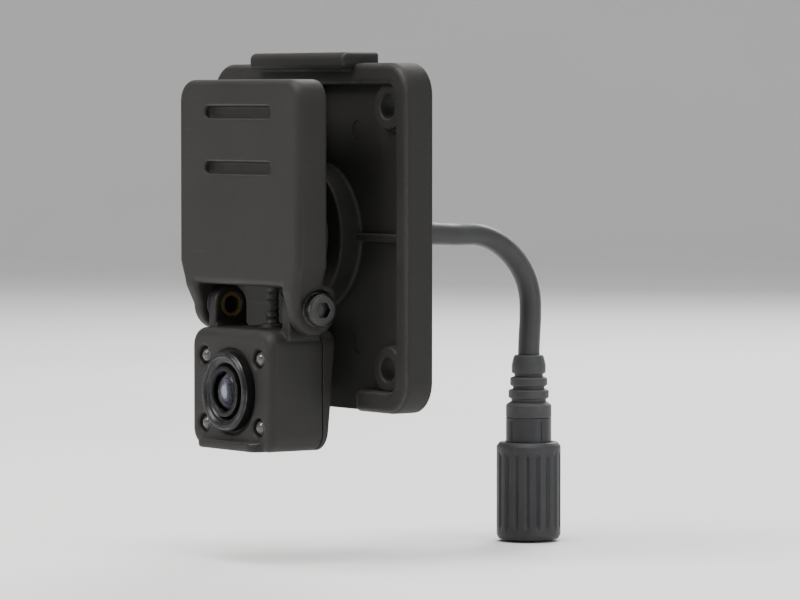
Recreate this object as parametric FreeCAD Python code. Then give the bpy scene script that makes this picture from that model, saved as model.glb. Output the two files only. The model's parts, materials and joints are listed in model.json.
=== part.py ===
"""Bumper backup camera: a hooded electronics housing on a square frame, with a small tilting camera head below it.

Millimetres. The origin is the centre of the frame's back face, which lies on the bumper. +X is to the right for
someone facing the camera, +Z is up and +Y goes into the bumper. Most places are given as a depth d in front of the
bumper, so d = -y. The camera head hangs between two arms of the front cover and tilts about an axis along X.
"""

import FreeCAD, Part
import math
import os

V = FreeCAD.Vector
OUT = V(0, -1, 0)
UP = V(0, 0, 1)
RIGHT = V(1, 0, 0)

# ---- driving dimensions -------------------------------------------------------------------------------------------
FRAME_SIZE = 64.0            # square frame, side length
FRAME_CORNER = 6.0
RIM_DEPTH = 6.0              # the frame's raised rim in front of the bumper
RIM_WIDTH = 4.0
WEB_DEPTH = 3.0              # the frame's floor
SCREW_SPACING = 48.0         # square pattern of the four mounting holes
SCREW_HOLE_R = 2.25
LIP_WIDTH = 31.0             # drip lip over the top of the frame
LIP_DEPTH = 8.6
LIP_LOW, LIP_HIGH = 31.0, 34.0

STEM_R = 7.0                 # hollow stem that joins the housing to the frame
STEM_FLAT = 6.2              # height of the flat that stops the stem turning
STEM_REAR = 0.5
HUB_R = 13.5
HUB_DEPTH = 7.5
NUT_POCKET_R = 11.2
NUT_POCKET_DEPTH = 5.0
NUT_FLATS = 18.0
COLLAR_R = 9.5               # shoulder on the stem, in front of the hub, and the rubber seal between them
COLLAR_BACK, COLLAR_FRONT = 8.3, 9.4
DRAIN_WIDTH = 31.0           # gap in the lower rim: lets rain out and the head swing back

COVER_WIDTH = 40.0           # front cover
COVER_LOW, COVER_HIGH = -9.0, 29.0
COVER_BACK, COVER_FRONT = 15.0, 21.5
COVER_CORNER = 4.0
COVER_WALL = 2.4
GROOVE_WIDTH = 22.0
GROOVE_HEIGHTS = (12.7, 23.0)
GROOVE_TALL = 2.2
GROOVE_DEEP = 0.9

BOX_WIDTH = 28.0             # rear housing, behind the cover
BOX_LOW, BOX_HIGH = -6.0, 26.0
BOX_BACK = 10.5
BOX_WALL = 1.7
LID_THICK = 1.4
HOUSING_SCREWS = [(sx * 16.3, z) for sx in (-1, 1) for z in (-5.0, 25.0)]

PIVOT_D, PIVOT_Z = 15.5, -13.0
ARM_IN, ARM_OUT = 14.1, 17.1
ARM_END_R = 4.8
LUG_IN, LUG_OUT = 11.0, 13.5
LUG_END_R = 3.6
SCREW_R = 1.55

HEAD_WIDTH = 27.0            # camera head
HEAD_TOP, HEAD_BOTTOM = -17.0, -39.3
HEAD_SPLIT, HEAD_FRONT = 11.6, 23.0
HEAD_BACK_TOP, HEAD_BACK_BOTTOM = 8.0, 10.6
HEAD_CORNER = 3.5
HEAD_WALL = 1.6
LENS_Z = -28.5
LED_OFFSETS = [(sx * 9.0, LENS_Z + sz * 6.3) for sx in (-1, 1) for sz in (-1, 1)]
HEAD_SCREW_X, HEAD_SCREW_SEAT = 10.6, 10.3
CHIN_WIDTH, CHIN_DEPTH, CHIN_TALL = 20.0, 1.6, 1.8
BOARD_FACE = 13.2            # front of the sensor board

SLEEVE_R = 1.3               # rubber-covered link cable between housing and head
SLEEVE_D = 13.5
SLEEVE_TOP, SLEEVE_END = -4.05, -19.6

CABLE_R = 2.1
CABLE_BACK = 32.0            # y where the cable starts to turn down
CABLE_BEND = 14.0
PLUG_Y = CABLE_BACK + CABLE_BEND
PLUG_TOP = -24.0             # plug dimensions: it has to pass through the frame's hole for the stem
PLUG_R = 4.4
SHOULDER_R = 5.3
RING_R = 6.2
PIN_CIRCLE = 1.8


# ---- shape helpers ------------------------------------------------------------------------------------------------
def point(x, d, z):
    """The point x to the right, d in front of the bumper and z up."""
    return V(x, -d, z)


def box(x0, x1, d0, d1, z0, z1):
    return Part.makeBox(x1 - x0, d1 - d0, z1 - z0, point(x0, d1, z0))


def disc(radius, d0, d1, x=0.0, z=0.0):
    """A cylinder along the depth, from d0 to d1."""
    return Part.makeCylinder(radius, d1 - d0, point(x, d0, z), OUT)


def rod(radius, x0, x1, d, z):
    """A cylinder along X."""
    return Part.makeCylinder(radius, x1 - x0, point(x0, d, z), RIGHT)


def prism(points, push):
    """The polygon through points, pushed out along the vector push."""
    return Part.Face(Part.makePolygon(points + points[:1])).extrude(push)


def rounded_plate(width, low, high, corner, d0, d1):
    """A plate across X and Z with four round corners, centred on X = 0, from depth d0 to d1."""
    x, r = width / 2, corner
    diagonal = r * (1 - math.sqrt(0.5))
    corners = [(x, high, -1, -1), (x, low, -1, 1), (-x, low, 1, 1), (-x, high, 1, -1)]
    edges, last = [], None
    for i, (cx, cz, tx, tz) in enumerate(corners):
        on_side = point(cx, d0, cz + tz * r)
        on_end = point(cx + tx * r, d0, cz)
        start, end = (on_end, on_side) if i % 2 == 0 else (on_side, on_end)
        if last is not None:
            edges.append(Part.makeLine(last, start))
        middle = point(cx + tx * diagonal, d0, cz + tz * diagonal)
        edges.append(Part.Arc(start, middle, end).toShape())
        last = end
    edges.append(Part.makeLine(last, edges[0].Vertexes[0].Point))
    return Part.Face(Part.Wire(edges)).extrude(OUT * (d1 - d0))


def front_edges(shape, d):
    """The edges of shape that lie wholly at depth d."""
    return [e for e in shape.Edges if abs(e.BoundBox.YMin + d) < 1e-6 and abs(e.BoundBox.YMax + d) < 1e-6]


def turned(profile, x=0.0, z=0.0):
    """The closed profile of (radius, depth) points, turned about a line along the depth through x, z."""
    points = [point(x + r, d, z) for r, d in profile]
    face = Part.Face(Part.makePolygon(points + points[:1]))
    return face.revolve(point(x, 0, z), OUT, 360)


def turned_upright(profile, y):
    """The closed profile of (radius, z) points, turned about the upright line x = 0 at y."""
    points = [V(r, y, z) for r, z in profile]
    face = Part.Face(Part.makePolygon(points + points[:1]))
    return face.revolve(V(0, y, 0), UP, 360)


def lens(radius, back, front, back_bulge, front_bulge):
    """A lens with its rim between depths back and front, and faces that bulge forward by the given amounts."""
    rim_back, rim_front = point(radius, back, LENS_Z), point(radius, front, LENS_Z)
    mid_back, mid_front = point(0, back + back_bulge, LENS_Z), point(0, front + front_bulge, LENS_Z)

    def face_curve(rim, middle):
        if abs((rim - middle).y) < 1e-6:
            return Part.makeLine(rim, middle)
        mirrored = V(-rim.x, rim.y, rim.z)
        whole = Part.Arc(rim, middle, mirrored)
        circle = whole.toShape().Curve
        return Part.Arc(circle, whole.FirstParameter, circle.parameter(middle)).toShape()

    outline = [face_curve(rim_back, mid_back), Part.makeLine(mid_back, mid_front),
               face_curve(rim_front, mid_front), Part.makeLine(rim_front, rim_back)]
    wire = Part.Wire(Part.__sortEdges__(outline))
    return Part.Face(wire).revolve(point(0, 0, LENS_Z), OUT, 360)


def fuse(first, *others):
    return first.fuse(list(others)).removeSplitter() if others else first


def cut(shape, *tools):
    return shape.cut(list(tools)) if tools else shape


def group(*shapes):
    return Part.makeCompound(list(shapes))


def mirrored_pair(shape):
    return group(shape, shape.mirror(V(0, 0, 0), RIGHT))


def pipe(radius, *edges):
    """A round rod along the given edges, which start along the depth or upright."""
    spine = Part.Wire(list(edges))
    start = spine.Edges[0].valueAt(spine.Edges[0].FirstParameter)
    along = spine.Edges[0].tangentAt(spine.Edges[0].FirstParameter)
    ring = Part.Wire([Part.makeCircle(radius, start, along)])
    return spine.makePipeShell([ring], True, True)


def quarter_turn(start, corner, end):
    """A round edge from start to end, tangent to the lines that meet at corner."""
    centre = start + end - corner
    radius = (start - centre).Length
    middle = centre + (corner - centre).normalize() * radius
    return Part.Arc(start, middle, end).toShape()


# ---- frame on the bumper ------------------------------------------------------------------------------------------
def mounting_holes(radius, d0, d1):
    half = SCREW_SPACING / 2
    return [disc(radius, d0, d1, sx * half, sz * half) for sx in (-1, 1) for sz in (-1, 1)]


def mounting_frame():
    half = FRAME_SIZE / 2
    inner = FRAME_SIZE - 2 * RIM_WIDTH
    boss_r, boss_depth = 4.2, 4.6
    rib_half, rib_depth = 0.7, 4.2
    body = rounded_plate(FRAME_SIZE, -half, half, FRAME_CORNER, 0, RIM_DEPTH)
    body = body.makeFillet(1.2, front_edges(body, RIM_DEPTH))
    tray = rounded_plate(inner, -inner / 2, inner / 2, FRAME_CORNER - 3.0, WEB_DEPTH, RIM_DEPTH + 1)
    body = cut(body, tray.makeFillet(0.8, front_edges(tray, WEB_DEPTH)))
    lip = box(-LIP_WIDTH / 2, LIP_WIDTH / 2, 0, LIP_DEPTH, LIP_LOW, LIP_HIGH)
    lip = lip.makeFillet(1.0, [e for e in lip.Edges if e.BoundBox.ZMin > LIP_HIGH - 0.01 and
                               e.BoundBox.YMax < -0.01 or abs(e.BoundBox.YMin + LIP_DEPTH) < 1e-6 and
                               e.BoundBox.ZLength > 1])
    ribs = [box(-inner / 2, inner / 2, WEB_DEPTH - 1, rib_depth, -rib_half, rib_half),
            box(-rib_half, rib_half, WEB_DEPTH - 1, rib_depth, -inner / 2, inner / 2)]
    body = fuse(body, lip, disc(HUB_R, 0, HUB_DEPTH), *ribs, *mounting_holes(boss_r, 0, boss_depth))
    bore = cut(disc(STEM_R + 0.15, -1, HUB_DEPTH + 1),
               box(-10, 10, -2, HUB_DEPTH + 2, STEM_FLAT + 0.15, 10))
    groove = cut(rounded_plate(58, -29, 29, 3.5, -1, 1.0), rounded_plate(54, -27, 27, 2.0, -2, 2.0))
    drain = box(-DRAIN_WIDTH / 2, DRAIN_WIDTH / 2, WEB_DEPTH, RIM_DEPTH + 1, -half - 1, -half + RIM_WIDTH + 1)
    return cut(body, bore, disc(NUT_POCKET_R, -1, NUT_POCKET_DEPTH), groove, drain,
               *mounting_holes(SCREW_HOLE_R, -1, boss_depth + 1))


def frame_gasket():
    return cut(rounded_plate(57.8, -28.9, 28.9, 3.4, 0, 1.0), rounded_plate(54.2, -27.1, 27.1, 2.1, -1, 2.0))


def stem_nut():
    across = NUT_FLATS / math.cos(math.pi / 6) / 2
    corners = [point(across * math.cos(math.radians(60 * i)), 1.2, across * math.sin(math.radians(60 * i)))
               for i in range(6)]
    nut = prism(corners, OUT * 3.2)
    chamfer = turned([(0, 1.2), (NUT_FLATS / 2, 1.2), (across, 1.8), (across, 3.8), (NUT_FLATS / 2, 4.4),
                      (0, 4.4)])
    return cut(nut.common(chamfer), disc(STEM_R + 0.05, 0, 6))


def stem_seal():
    return cut(disc(COLLAR_R, HUB_DEPTH, COLLAR_BACK), disc(STEM_R + 0.05, 7, 9))


def stem_washer():
    """A star washer under the nut, with internal teeth bent from the ring."""
    ring = cut(disc(10.2, 4.4, 5.0), disc(STEM_R + 0.1, 4, 6))
    slots = [box(STEM_R, STEM_R + 1.6, 4, 6, -0.5, 0.5).rotate(V(0, 0, 0), OUT, 30 * i) for i in range(12)]
    return cut(ring, *slots)


# ---- electronics housing ------------------------------------------------------------------------------------------
def arm_side_profile():
    """The fork's outline seen from the side, across the whole width: it ends round about the tilt axis."""
    x, top = COVER_WIDTH, -5.0
    side = [(10.7, PIVOT_Z), (11.6, -9.4), (COVER_BACK, -8.0), (COVER_BACK, top), (COVER_FRONT, top),
            (COVER_FRONT, -9.6), (20.3, PIVOT_Z)]
    return fuse(prism([point(-x, d, z) for d, z in side], RIGHT * 2 * x), rod(ARM_END_R, -x, x, PIVOT_D, PIVOT_Z))


def fork_arm(back, front):
    """The arm on the +X side between two depths, tapered outside and not yet rounded at its end."""
    top, bottom = -5.0, -20.0
    corners = [(ARM_IN, top), (COVER_WIDTH / 2, top), (ARM_OUT, PIVOT_Z + 1.0), (ARM_OUT, bottom),
               (ARM_IN, bottom)]
    return prism([point(x, back, z) for x, z in corners], OUT * (front - back))


def front_cover():
    inside = COVER_WIDTH - 2 * COVER_WALL
    body = rounded_plate(COVER_WIDTH, COVER_LOW, COVER_HIGH, COVER_CORNER, COVER_BACK, COVER_FRONT)
    arm = fork_arm(COVER_BACK, COVER_FRONT)
    body = fuse(body, arm, arm.mirror(V(0, 0, 0), RIGHT))
    body = body.makeFillet(1.2, front_edges(body, COVER_FRONT))
    arm_back = cut(fork_arm(BOX_BACK, COVER_BACK), box(ARM_IN - 1, 25, 5, COVER_BACK, -8.0, 0))
    profile = arm_side_profile()
    spare = cut(box(-25, 25, 5, 30, -25, COVER_LOW), profile)
    arm_back = arm_back.common(profile)
    body = fuse(cut(body, spare), arm_back, arm_back.mirror(V(0, 0, 0), RIGHT))
    cavity = rounded_plate(inside, COVER_LOW + COVER_WALL, COVER_HIGH - COVER_WALL, 2.5, COVER_BACK - 1,
                           COVER_FRONT - 2)
    rebate = rounded_plate(inside + 2.4, COVER_LOW + 1.2, COVER_HIGH - 1.2, 3.2, COVER_BACK - 1, 17)
    body = cut(body, cavity, rebate)
    bosses = [disc(2.3, 17, COVER_FRONT - 1.5, x, z) for x, z in HOUSING_SCREWS]
    body = fuse(body, *bosses)
    grooves = [rounded_plate(GROOVE_WIDTH, z - GROOVE_TALL / 2, z + GROOVE_TALL / 2, 0.9,
                             COVER_FRONT - GROOVE_DEEP, COVER_FRONT + 1) for z in GROOVE_HEIGHTS]
    pilots = [disc(0.85, 14, 19, x, z) for x, z in HOUSING_SCREWS]
    pivots = [rod(SCREW_R + 0.1, -30, 30, PIVOT_D, PIVOT_Z)]
    pivots += [rod(3.6, x, x + 10, PIVOT_D, PIVOT_Z) for x in (ARM_OUT, -ARM_OUT - 10)]
    return cut(body, *grooves, *pilots, *pivots)


def housing_seal():
    ring = cut(rounded_plate(37.4, -7.7, 27.7, 3.1, 16.4, 17), rounded_plate(35.2, -6.6, 26.6, 2.5, 16, 18))
    return ring


BOARD_POSTS = [(-9.4, -1.6), (9.4, 21.6)]


def rear_housing():
    lid_low, lid_high, lid_width = -7.7, 27.7, 37.4
    inner = BOX_WIDTH - 2 * BOX_WALL
    shell = rounded_plate(BOX_WIDTH, BOX_LOW, BOX_HIGH, 3.0, BOX_BACK, COVER_BACK + 1)
    shell = shell.makeFillet(1.4, front_edges(shell, BOX_BACK))
    lid = rounded_plate(lid_width, lid_low, lid_high, 3.1, COVER_BACK, COVER_BACK + LID_THICK)
    stem = cut(disc(STEM_R, STEM_REAR, BOX_BACK + 1), box(-10, 10, 0, COLLAR_BACK, STEM_FLAT, 10))
    body = fuse(shell, lid, stem, disc(COLLAR_R, COLLAR_BACK, COLLAR_FRONT))
    cavity = rounded_plate(inner, BOX_LOW + BOX_WALL, BOX_HIGH - BOX_WALL, 1.6, BOX_BACK + 1.5, COVER_BACK + 3)
    body = cut(body, cavity)
    posts = [disc(1.8, BOX_BACK + 1, 14.4, x, z) for x, z in BOARD_POSTS]
    body = fuse(body, *posts)
    bores = [disc(0.75, 12, 15, x, z) for x, z in BOARD_POSTS]
    bores += [disc(1.1, 14, 18, x, z) for x, z in HOUSING_SCREWS]
    bores += [disc(CABLE_R + 0.1, 0, 13), disc(4.5, 0, 4.5), disc(1.5, 8, 13, 7.5, 18.0)]
    port = Part.makeCylinder(SLEEVE_R, 6, point(0, SLEEVE_D, BOX_LOW - 3), UP)
    return cut(body, *bores, port)


def vent_plug():
    """Breather with a domed cap in the back wall of the housing."""
    return turned([(0, 9.3), (1.4, 9.4), (2.4, 9.9), (2.4, BOX_BACK), (1.5, BOX_BACK), (1.5, 12.0), (0, 12.0)],
                  7.5, 18.0)


def pan_screw(head_r, head_d, tip_d, shank_r, x, z, head_thick):
    """A screw that points forward, with its head behind depth head_d and a cross recess in the head."""
    shank = disc(shank_r, head_d - 0.01, tip_d - shank_r * 0.8, x, z)
    tip = turned([(0, tip_d - shank_r * 0.8), (shank_r, tip_d - shank_r * 0.8), (0, tip_d)], x, z)
    back = head_d - head_thick
    head = turned([(0, back), (head_r * 0.7, back), (head_r, back + head_thick * 0.45), (head_r, head_d),
                   (0, head_d)], x, z)
    arm, deep = head_r * 0.62, head_thick * 0.6
    recess = [box(x - arm, x + arm, back - 1, back + deep, z - 0.22, z + 0.22),
              box(x - 0.22, x + 0.22, back - 1, back + deep, z - arm, z + arm)]
    return cut(fuse(head, shank, tip), *recess)


def housing_screws():
    return group(*[pan_screw(1.75, COVER_BACK, 18.6, 0.8, x, z, 1.2) for x, z in HOUSING_SCREWS])


# ---- electronics --------------------------------------------------------------------------------------------------
BOARD_BACK, BOARD_FRONT = 14.4, 15.6


def main_board():
    board = rounded_plate(23.6, -3.8, 23.8, 1.2, BOARD_BACK, BOARD_FRONT)
    return cut(board, *[disc(0.85, 14, 16, x, z) for x, z in BOARD_POSTS])


def board_screws():
    screws = []
    for x, z in BOARD_POSTS:
        head = disc(1.5, BOARD_FRONT, BOARD_FRONT + 0.9, x, z)
        slot = box(x - 1.1, x + 1.1, BOARD_FRONT + 0.5, BOARD_FRONT + 2, z - 0.2, z + 0.2)
        screws.append(cut(fuse(head, disc(0.7, 12.4, BOARD_FRONT + 0.1, x, z)), slot))
    return group(*screws)


def flat_chip(width, height, thick, x, z, d):
    """A chip package with a marked corner and a row of leads on its left and right."""
    body = box(x - width / 2, x + width / 2, d + 0.1, d + thick, z - height / 2, z + height / 2)
    body = body.makeChamfer(0.2, front_edges(body, d + thick))
    body = cut(body, disc(0.3, d + thick - 0.1, d + thick + 1, x - width / 2 + 0.9, z + height / 2 - 0.9))
    pitch, count = 0.8, int((height - 0.8) / 0.8)
    leads = []
    for i in range(count):
        lead_z = z + (i - (count - 1) / 2) * pitch
        leads.append(box(x - width / 2 - 0.7, x + width / 2 + 0.7, d, d + 0.15, lead_z - 0.15, lead_z + 0.15))
    return fuse(body, *leads)


def video_processor():
    return flat_chip(8.0, 8.0, 1.2, -1.5, 14.5, BOARD_FRONT)


def memory_chip():
    return flat_chip(4.6, 5.0, 1.0, -6.0, 5.0, BOARD_FRONT)


def filter_capacitors():
    cans = []
    for x, z in ((7.8, 4.0), (-8.2, 21.0)):
        base = box(x - 2.1, x + 2.1, BOARD_FRONT, BOARD_FRONT + 0.6, z - 2.1, z + 2.1)
        can = turned([(0, BOARD_FRONT + 0.5), (1.95, BOARD_FRONT + 0.5), (1.95, BOARD_FRONT + 0.9),
                      (1.75, BOARD_FRONT + 1.1), (1.95, BOARD_FRONT + 1.3), (1.95, BOARD_FRONT + 3.1),
                      (1.7, BOARD_FRONT + 3.3), (0, BOARD_FRONT + 3.3)], x, z)
        cans.append(fuse(base, can))
    return group(*cans)


def power_inductor():
    x, z = 7.0, 14.2
    core = rounded_plate(5.6, z - 2.8, z + 2.8, 1.4, BOARD_FRONT, BOARD_FRONT + 2.6).translate(V(x, 0, 0))
    well = cut(disc(2.3, BOARD_FRONT + 2.0, BOARD_FRONT + 3, x, z), disc(1.2, BOARD_FRONT, BOARD_FRONT + 3, x, z))
    return cut(core, well)


def clock_crystal():
    crystal = rounded_plate(3.4, 19.4, 21.8, 0.7, BOARD_FRONT, BOARD_FRONT + 0.9).translate(V(1.5, 0, 0))
    return crystal.makeChamfer(0.15, front_edges(crystal, BOARD_FRONT + 0.9))


WIRE_X = 1.1
HEADER_LOW, HEADER_HIGH = 5.6, 8.6
WIRE_ROWS = [(12.8, 0.6), (13.8, -0.6)]   # depth of the upright part, height of the part in the stem


def cable_header():
    """Crimp housing on the back of the main board that takes the cable's four wires from below."""
    body = box(-2.9, 2.9, 12.2, BOARD_BACK, HEADER_LOW, HEADER_HIGH)
    ports = [Part.makeCylinder(0.38, 2.0, point(sx * WIRE_X, d, HEADER_LOW), UP)
             for sx in (-1, 1) for d, _ in WIRE_ROWS]
    windows = [box(sx * WIRE_X - 0.35, sx * WIRE_X + 0.35, 12.0, 12.3, HEADER_HIGH - 1.1, HEADER_HIGH - 0.5)
               for sx in (-1, 1)]
    return cut(body, *ports, *windows)


def lead_wires():
    """Four wires from the cable's end, forward out of the stem and up into the header."""
    bend = 0.8
    wires = []
    for sx in (-1, 1):
        for d, z in WIRE_ROWS:
            x = sx * WIRE_X
            before, corner, after = point(x, d - bend, z), point(x, d, z), point(x, d, z + bend)
            wires.append(pipe(0.35, Part.makeLine(point(x, 11.65, z), before),
                              quarter_turn(before, corner, after),
                              Part.makeLine(after, point(x, d, HEADER_LOW + 1.6))))
    return group(*wires)


def straight_leads(d, z0, z1):
    return group(*[Part.makeCylinder(0.22, z1 - z0, point(0.55 * (i - 1.5), d, z0), UP) for i in range(4)])


def upper_head_leads():
    """The link cable's four conductors, from its upper end onto the back of the main board."""
    return straight_leads(14.1, SLEEVE_TOP + 0.05, -2.3)


def sensor_leads():
    """The link cable's four conductors, from its lower end onto the sensor board's contacts."""
    return straight_leads(13.43, -21.4, SLEEVE_END - 0.05)


# ---- cable and plug -----------------------------------------------------------------------------------------------
def strain_relief():
    """Ribbed rubber boot, plugged into the stem, that bends with the cable."""
    outline = [(CABLE_R + 0.05, 4.3), (4.4, 4.3), (4.4, 0.4), (6.2, 0.4), (6.2, -1.6), (4.6, -2.4)]
    ribs, radius, d = [], 4.5, -3.0
    for _ in range(5):
        ribs += [(radius, d), (radius, d - 1.5), (radius - 0.9, d - 1.9), (radius - 0.9, d - 2.5)]
        radius -= 0.25
        d -= 2.9
    outline += ribs + [(3.0, d - 0.3), (2.7, d - 1.6), (CABLE_R + 0.05, d - 1.6)]
    return turned(outline)


def cable():
    inner_end, boot_start = point(0, 11.6, 0), V(0, CABLE_BACK, 0)
    turn_end = V(0, PLUG_Y, -CABLE_BEND)
    return pipe(CABLE_R, Part.makeLine(inner_end, boot_start),
                quarter_turn(boot_start, V(0, PLUG_Y, 0), turn_end),
                Part.makeLine(turn_end, V(0, PLUG_Y, PLUG_TOP - 14)))


def plug_boot():
    bore = CABLE_R + 0.05
    outline = [(bore, PLUG_TOP), (2.8, PLUG_TOP), (3.1, PLUG_TOP - 1)]
    for i in range(3):
        z, r = PLUG_TOP - 2 - 2.4 * i, 3.3 + 0.3 * i
        outline += [(r, z), (r, z - 1.4), (r - 0.55, z - 1.7), (r - 0.55, z - 2.1)]
    outline += [(PLUG_R, PLUG_TOP - 9.6), (PLUG_R, PLUG_TOP - 12), (bore, PLUG_TOP - 12)]
    return turned_upright(outline, PLUG_Y)


BODY_TOP = PLUG_TOP - 12
SHOULDER_TOP = BODY_TOP - 8
PLUG_END = BODY_TOP - 22
SEAL_LAND_R = PLUG_R + 0.2
SEAL_LAND_END = SHOULDER_TOP - 3.9


def plug_body():
    bore, chamber = CABLE_R + 0.05, PLUG_R - 0.9
    outline = [(bore, BODY_TOP), (PLUG_R, BODY_TOP), (PLUG_R, SHOULDER_TOP), (SHOULDER_R, SHOULDER_TOP),
               (SHOULDER_R, SHOULDER_TOP - 2), (SEAL_LAND_R, SHOULDER_TOP - 2), (SEAL_LAND_R, SEAL_LAND_END),
               (PLUG_R, SEAL_LAND_END), (PLUG_R, PLUG_END + 0.6),
               (PLUG_R - 0.3, PLUG_END), (chamber, PLUG_END), (chamber, PLUG_END + 12), (bore, PLUG_END + 12)]
    keyway = Part.makeBox(1.4, 1.4, 9, V(-0.7, PLUG_Y - PLUG_R - 0.5, PLUG_END - 1))
    return cut(turned_upright(outline, PLUG_Y), keyway)


def pin_places():
    turns = [math.radians(45 + 90 * i) for i in range(4)]
    return [V(PIN_CIRCLE * math.cos(t), PLUG_Y + PIN_CIRCLE * math.sin(t), 0) for t in turns]


def plug_insulator():
    low = PLUG_END + 8
    block = Part.makeCylinder(PLUG_R - 0.9, 3.9, V(0, PLUG_Y, low), UP)
    return cut(block, *[Part.makeCylinder(0.5, 8, p + UP * (low - 2), UP) for p in pin_places()])


def plug_pins():
    pins = []
    for p in pin_places():
        shaft = Part.makeCylinder(0.5, 10.6, p + UP * (PLUG_END + 1.4), UP)
        nose = Part.makeSphere(0.5, p + UP * (PLUG_END + 1.4))
        pins.append(fuse(shaft, nose))
    return group(*pins)


def plug_seal():
    top = SHOULDER_TOP - 2
    return turned_upright([(SEAL_LAND_R, top), (5.25, top), (5.25, top - 1.3), (4.95, top - 1.8),
                           (SEAL_LAND_R, top - 1.8)], PLUG_Y)


def coupling_ring():
    """Fluted ring that turns freely on the plug body and is caught behind its shoulder."""
    top, bottom = SHOULDER_TOP + 3.2, PLUG_END - 1.5
    neck, inside = PLUG_R + 0.1, SHOULDER_R + 0.12
    outline = [(neck, top), (RING_R - 0.6, top), (RING_R, top - 0.8), (RING_R, bottom + 0.8),
               (RING_R - 0.4, bottom), (inside, bottom), (inside, SHOULDER_TOP + 0.1), (neck, SHOULDER_TOP + 0.1)]
    ring = turned_upright(outline, PLUG_Y)
    flutes, centre_r = 18, RING_R + 0.25
    grooves = []
    for i in range(flutes):
        turn = 2 * math.pi * i / flutes
        foot = V(centre_r * math.cos(turn), PLUG_Y + centre_r * math.sin(turn), bottom + 2.6)
        grooves.append(Part.makeCylinder(0.5, top - bottom - 5.0, foot, UP))
    thread = turned_upright([(inside - 0.1, bottom + 1.0), (inside + 0.25, bottom + 1.35),
                             (inside + 0.25, bottom + 1.65), (inside - 0.1, bottom + 2.0)], PLUG_Y)
    threads = [thread.copy().translate(UP * 1.4 * i) for i in range(5)]
    return cut(ring, *grooves, *threads)


# ---- camera head --------------------------------------------------------------------------------------------------
def head_lug():
    plate = box(LUG_IN, LUG_OUT, PIVOT_D - LUG_END_R, PIVOT_D + LUG_END_R, HEAD_TOP - 2, PIVOT_Z)
    return fuse(plate, rod(LUG_END_R, LUG_IN, LUG_OUT, PIVOT_D, PIVOT_Z))


def head_shell():
    inner = HEAD_WIDTH - 2 * HEAD_WALL
    body = rounded_plate(HEAD_WIDTH, HEAD_BOTTOM, HEAD_TOP, HEAD_CORNER, HEAD_SPLIT, HEAD_FRONT)
    body = body.makeFillet(1.5, front_edges(body, HEAD_FRONT))
    chin = box(-CHIN_WIDTH / 2, CHIN_WIDTH / 2, HEAD_FRONT - 2, HEAD_FRONT + CHIN_DEPTH, HEAD_BOTTOM,
               HEAD_BOTTOM + CHIN_TALL)
    chin = chin.makeFillet(0.6, front_edges(chin, HEAD_FRONT + CHIN_DEPTH))
    lug = head_lug()
    body = fuse(body, chin, lug, lug.mirror(V(0, 0, 0), RIGHT))
    cavity = rounded_plate(inner, HEAD_BOTTOM + HEAD_WALL, HEAD_TOP - HEAD_WALL - 0.2, 2.0, HEAD_SPLIT - 1, 21.2)
    rebate = rounded_plate(inner + 2, HEAD_BOTTOM + 0.6, HEAD_TOP - 0.6, 2.9, HEAD_SPLIT - 1, HEAD_SPLIT + 0.5)
    body = cut(body, cavity, rebate)
    posts = [disc(1.9, HEAD_SPLIT + 0.5, 21.4, sx * HEAD_SCREW_X, LENS_Z) for sx in (-1, 1)]
    body = fuse(body, *posts)
    recess = turned([(0, HEAD_FRONT - 0.5), (7.9, HEAD_FRONT - 0.5), (8.4, HEAD_FRONT + 1), (0, HEAD_FRONT + 1)],
                    0, LENS_Z)
    holes = [disc(4.8, 20, 25, 0, LENS_Z), recess, rod(2.3, -20, 20, PIVOT_D, PIVOT_Z)]
    holes += [disc(1.6, 20, 25, x, z) for x, z in LED_OFFSETS]
    holes += [turned([(0, 22.2), (1.6, 22.2), (2.3, 23.1), (0, 23.1)], x, z) for x, z in LED_OFFSETS]
    holes += [disc(0.7, 10, 17, sx * HEAD_SCREW_X, LENS_Z) for sx in (-1, 1)]
    port = Part.makeCylinder(SLEEVE_R + 0.35, 5, point(0, SLEEVE_D, HEAD_TOP - 3), UP)
    return cut(body, *holes, port)


def head_cover():
    """Back cover of the head. Its back slopes forward towards the bottom, which leaves room to tilt down."""
    body = rounded_plate(HEAD_WIDTH, HEAD_BOTTOM, HEAD_TOP, HEAD_CORNER, 6, HEAD_SPLIT)
    slope = [(HEAD_BACK_TOP, HEAD_TOP + 1), (HEAD_BACK_TOP, HEAD_TOP - 2.5), (HEAD_BACK_BOTTOM, HEAD_BOTTOM - 1),
             (0, HEAD_BOTTOM - 1), (0, HEAD_TOP + 1)]
    body = cut(body, prism([point(-20, d, z) for d, z in slope], RIGHT * 40))
    pocket = rounded_plate(HEAD_WIDTH - 5.6, HEAD_BOTTOM + 6, HEAD_TOP - 2.8, 2.0, HEAD_BACK_BOTTOM + 0.3,
                           HEAD_SPLIT + 1)
    posts = [disc(2.3, 9.9, HEAD_SPLIT + 0.2, sx * HEAD_SCREW_X, LENS_Z) for sx in (-1, 1)]
    wells = [disc(0.75, 5, 13, sx * HEAD_SCREW_X, LENS_Z) for sx in (-1, 1)]
    wells += [disc(1.7, 5, HEAD_SCREW_SEAT, sx * HEAD_SCREW_X, LENS_Z) for sx in (-1, 1)]
    return cut(body, cut(pocket, *posts), *wells)


def head_seal():
    outer = rounded_plate(25.7, HEAD_BOTTOM + 0.7, HEAD_TOP - 0.7, 2.8, HEAD_SPLIT, HEAD_SPLIT + 0.5)
    inner = rounded_plate(23.8, HEAD_BOTTOM + HEAD_WALL, HEAD_TOP - 1.8, 2.0, HEAD_SPLIT - 1, HEAD_SPLIT + 1)
    return cut(outer, inner)


def head_screws():
    screws = []
    for sx in (-1, 1):
        screws.append(pan_screw(1.5, HEAD_SCREW_SEAT, 16.4, 0.65, sx * HEAD_SCREW_X, LENS_Z, 1.0))
    return group(*screws)


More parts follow.
